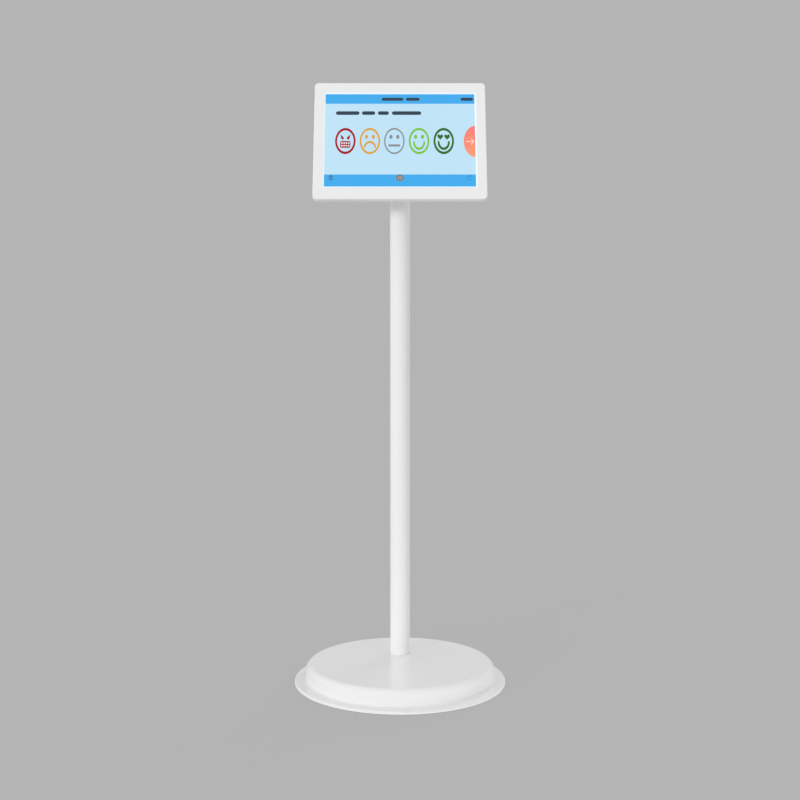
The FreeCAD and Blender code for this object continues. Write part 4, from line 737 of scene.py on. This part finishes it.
def make_window_edge():
    """A pale strip on the window's bevel, with a painted glow that stands in for the screen's light
    falling on it.
    """
    edge = bmesh.new()
    loops = []
    for outwards, height in EDGE_SECTION:
        outline = rounded_box(0, 0, WINDOW_WIDTH + 2 * outwards, WINDOW_HEIGHT + 2 * outwards,
                              WINDOW_CORNER + outwards)
        loops.append([edge.verts.new((x, y, height)) for x, y in outline])
    for loop, following in zip(loops, loops[1:] + loops[:1]):
        join_loops(edge, loop, following)
    finish = Finish("window_edge", EDGE_COLOUR, roughness=0.35)
    # Painted glow: emission in place of the screen's light on the bevel
    set_inputs(finish.shader, {"Emission Color": linear(EDGE_PAINTED_GLOW), "Emission Strength": 1.0})
    finish.polish(finish.noise(60), low=0.3, high=0.4)
    ride_head("window_edge", edge, finish.material)


# ---------------------------------------------------------------- floor, light and camera


def background_rays(tree):
    """1 for rays that show the background: from the camera, or by way of gloss or glass."""
    rays = add_node(tree, "ShaderNodeLightPath")
    value = rays.outputs["Is Camera Ray"]
    for name in ("Is Glossy Ray", "Is Transmission Ray"):
        larger = add_node(tree, "ShaderNodeMath")
        larger.operation = "MAXIMUM"
        tree.links.new(value, larger.inputs[0])
        tree.links.new(rays.outputs[name], larger.inputs[1])
        value = larger.outputs["Value"]
    return value


def output_by_ray(tree, output_kind, seen, unseen):
    """End the tree: the seen shader where rays show the background, and else the unseen one."""
    choice = add_node(tree, "ShaderNodeMixShader")
    output = add_node(tree, output_kind)
    tree.links.new(background_rays(tree), choice.inputs["Fac"])
    tree.links.new(unseen.outputs[0], choice.inputs[1])
    tree.links.new(seen.outputs[0], choice.inputs[2])
    tree.links.new(choice.outputs["Shader"], output.inputs["Surface"])


def add_shaders(tree, first, second):
    """The sum of two shaders."""
    total = add_node(tree, "ShaderNodeAddShader")
    tree.links.new(first.outputs[0], total.inputs[0])
    tree.links.new(second.outputs[0], total.inputs[1])
    return total


def make_world():
    """Even white light on the object, before a grey background."""
    world = bpy.data.worlds.new("studio")
    bpy.context.scene.world = world
    world.use_nodes = True
    tree = world.node_tree
    tree.nodes.clear()
    seen = add_node(tree, "ShaderNodeBackground", {"Color": linear(BACKGROUND)})
    light = add_node(tree, "ShaderNodeBackground", {"Color": grey(1), "Strength": AMBIENT})
    output_by_ray(tree, "ShaderNodeOutputWorld", seen, light)


def make_lamp(name, azimuth, elevation, strength, spread):
    """A distant soft lamp that leaves no glare."""
    data = bpy.data.lights.new(name, "SUN")
    data.energy = strength * math.pi
    data.angle = math.radians(spread)
    lamp = bpy.data.objects.new(name, data)
    a, e = math.radians(azimuth), math.radians(elevation)
    towards = Vector((math.sin(a) * math.cos(e), -math.cos(a) * math.cos(e), math.sin(e)))
    lamp.rotation_mode = "QUATERNION"
    lamp.rotation_quaternion = towards.to_track_quat("Z", "Y")
    lamp.visible_glossy = False
    bpy.context.scene.collection.objects.link(lamp)


def floor_light():
    """How much light falls on the bare floor, where 1 shows a colour as it is written."""
    light = AMBIENT
    for _, _, elevation, strength, spread in LAMPS:
        spread_loss = math.cos(math.radians(spread / 2)) ** 2
        light += strength * math.sin(math.radians(elevation)) * spread_loss
    return light


def floor_glow(tree):
    """The light of the reflector on the floor, strongest in its middle."""
    x, y, radius, brightness = FLOOR_GLOW
    place = add_node(tree, "ShaderNodeTexCoord")
    mapping = add_node(tree, "ShaderNodeMapping", {"Location": (-x / radius, -y / radius, 0),
                                                   "Scale": (1 / radius, 1 / radius, 1)})
    fade = add_node(tree, "ShaderNodeTexGradient")
    fade.gradient_type = "QUADRATIC_SPHERE"
    strength = add_node(tree, "ShaderNodeMath", {1: brightness})
    strength.operation = "MULTIPLY"
    glow = add_node(tree, "ShaderNodeEmission")
    tree.links.new(place.outputs["Object"], mapping.inputs["Vector"])
    tree.links.new(mapping.outputs["Vector"], fade.inputs["Vector"])
    tree.links.new(fade.outputs["Fac"], strength.inputs[0])
    tree.links.new(strength.outputs["Value"], glow.inputs["Strength"])
    return glow


def floor_material():
    """Seen as the background's grey with a shadow on it; to the object it is a pale floor."""
    material = bpy.data.materials.new("floor_paper")
    material.use_nodes = True
    tree = material.node_tree
    tree.nodes.clear()
    tone = linear(BACKGROUND)[0]
    shade = grey(tone * FLOOR_SHADE_SHARE / floor_light())
    rest = grey(tone * (1 - FLOOR_SHADE_SHARE))
    seen = add_shaders(tree, add_node(tree, "ShaderNodeBsdfDiffuse", {"Color": shade}),
                       add_node(tree, "ShaderNodeEmission", {"Color": rest}))
    bounce = add_node(tree, "ShaderNodeBsdfDiffuse", {"Color": grey(FLOOR_BOUNCE)})
    unseen = add_shaders(tree, bounce, floor_glow(tree))
    output_by_ray(tree, "ShaderNodeOutputMaterial", seen, unseen)
    return material


def make_floor():
    data = bpy.data.meshes.new("floor")
    mesh = bmesh.new()
    rim = [mesh.verts.new((x, y, 0)) for x, y in ellipse(0, 0, FLOOR_RADIUS, FLOOR_RADIUS)]
    mesh.faces.new(rim)
    mesh.to_mesh(data)
    mesh.free()
    data.materials.append(floor_material())
    floor = bpy.data.objects.new("floor", data)
    bpy.context.scene.collection.objects.link(floor)


def make_camera():
    data = bpy.data.cameras.new("camera")
    data.lens = CAMERA_LENS
    data.sensor_width = CAMERA_SENSOR
    camera = bpy.data.objects.new("camera", data)
    camera.location = CAMERA_PLACE
    camera.rotation_euler = (math.pi / 2 - CAMERA_PITCH_DOWN, 0, 0)
    bpy.context.scene.collection.objects.link(camera)
    bpy.context.scene.camera = camera


make_camera()
make_world()
for lamp in LAMPS:
    make_lamp(*lamp)
make_floor()
dress_nodes()
make_picture()
make_window_edge()
bpy.context.scene.view_settings.view_transform = "Standard"
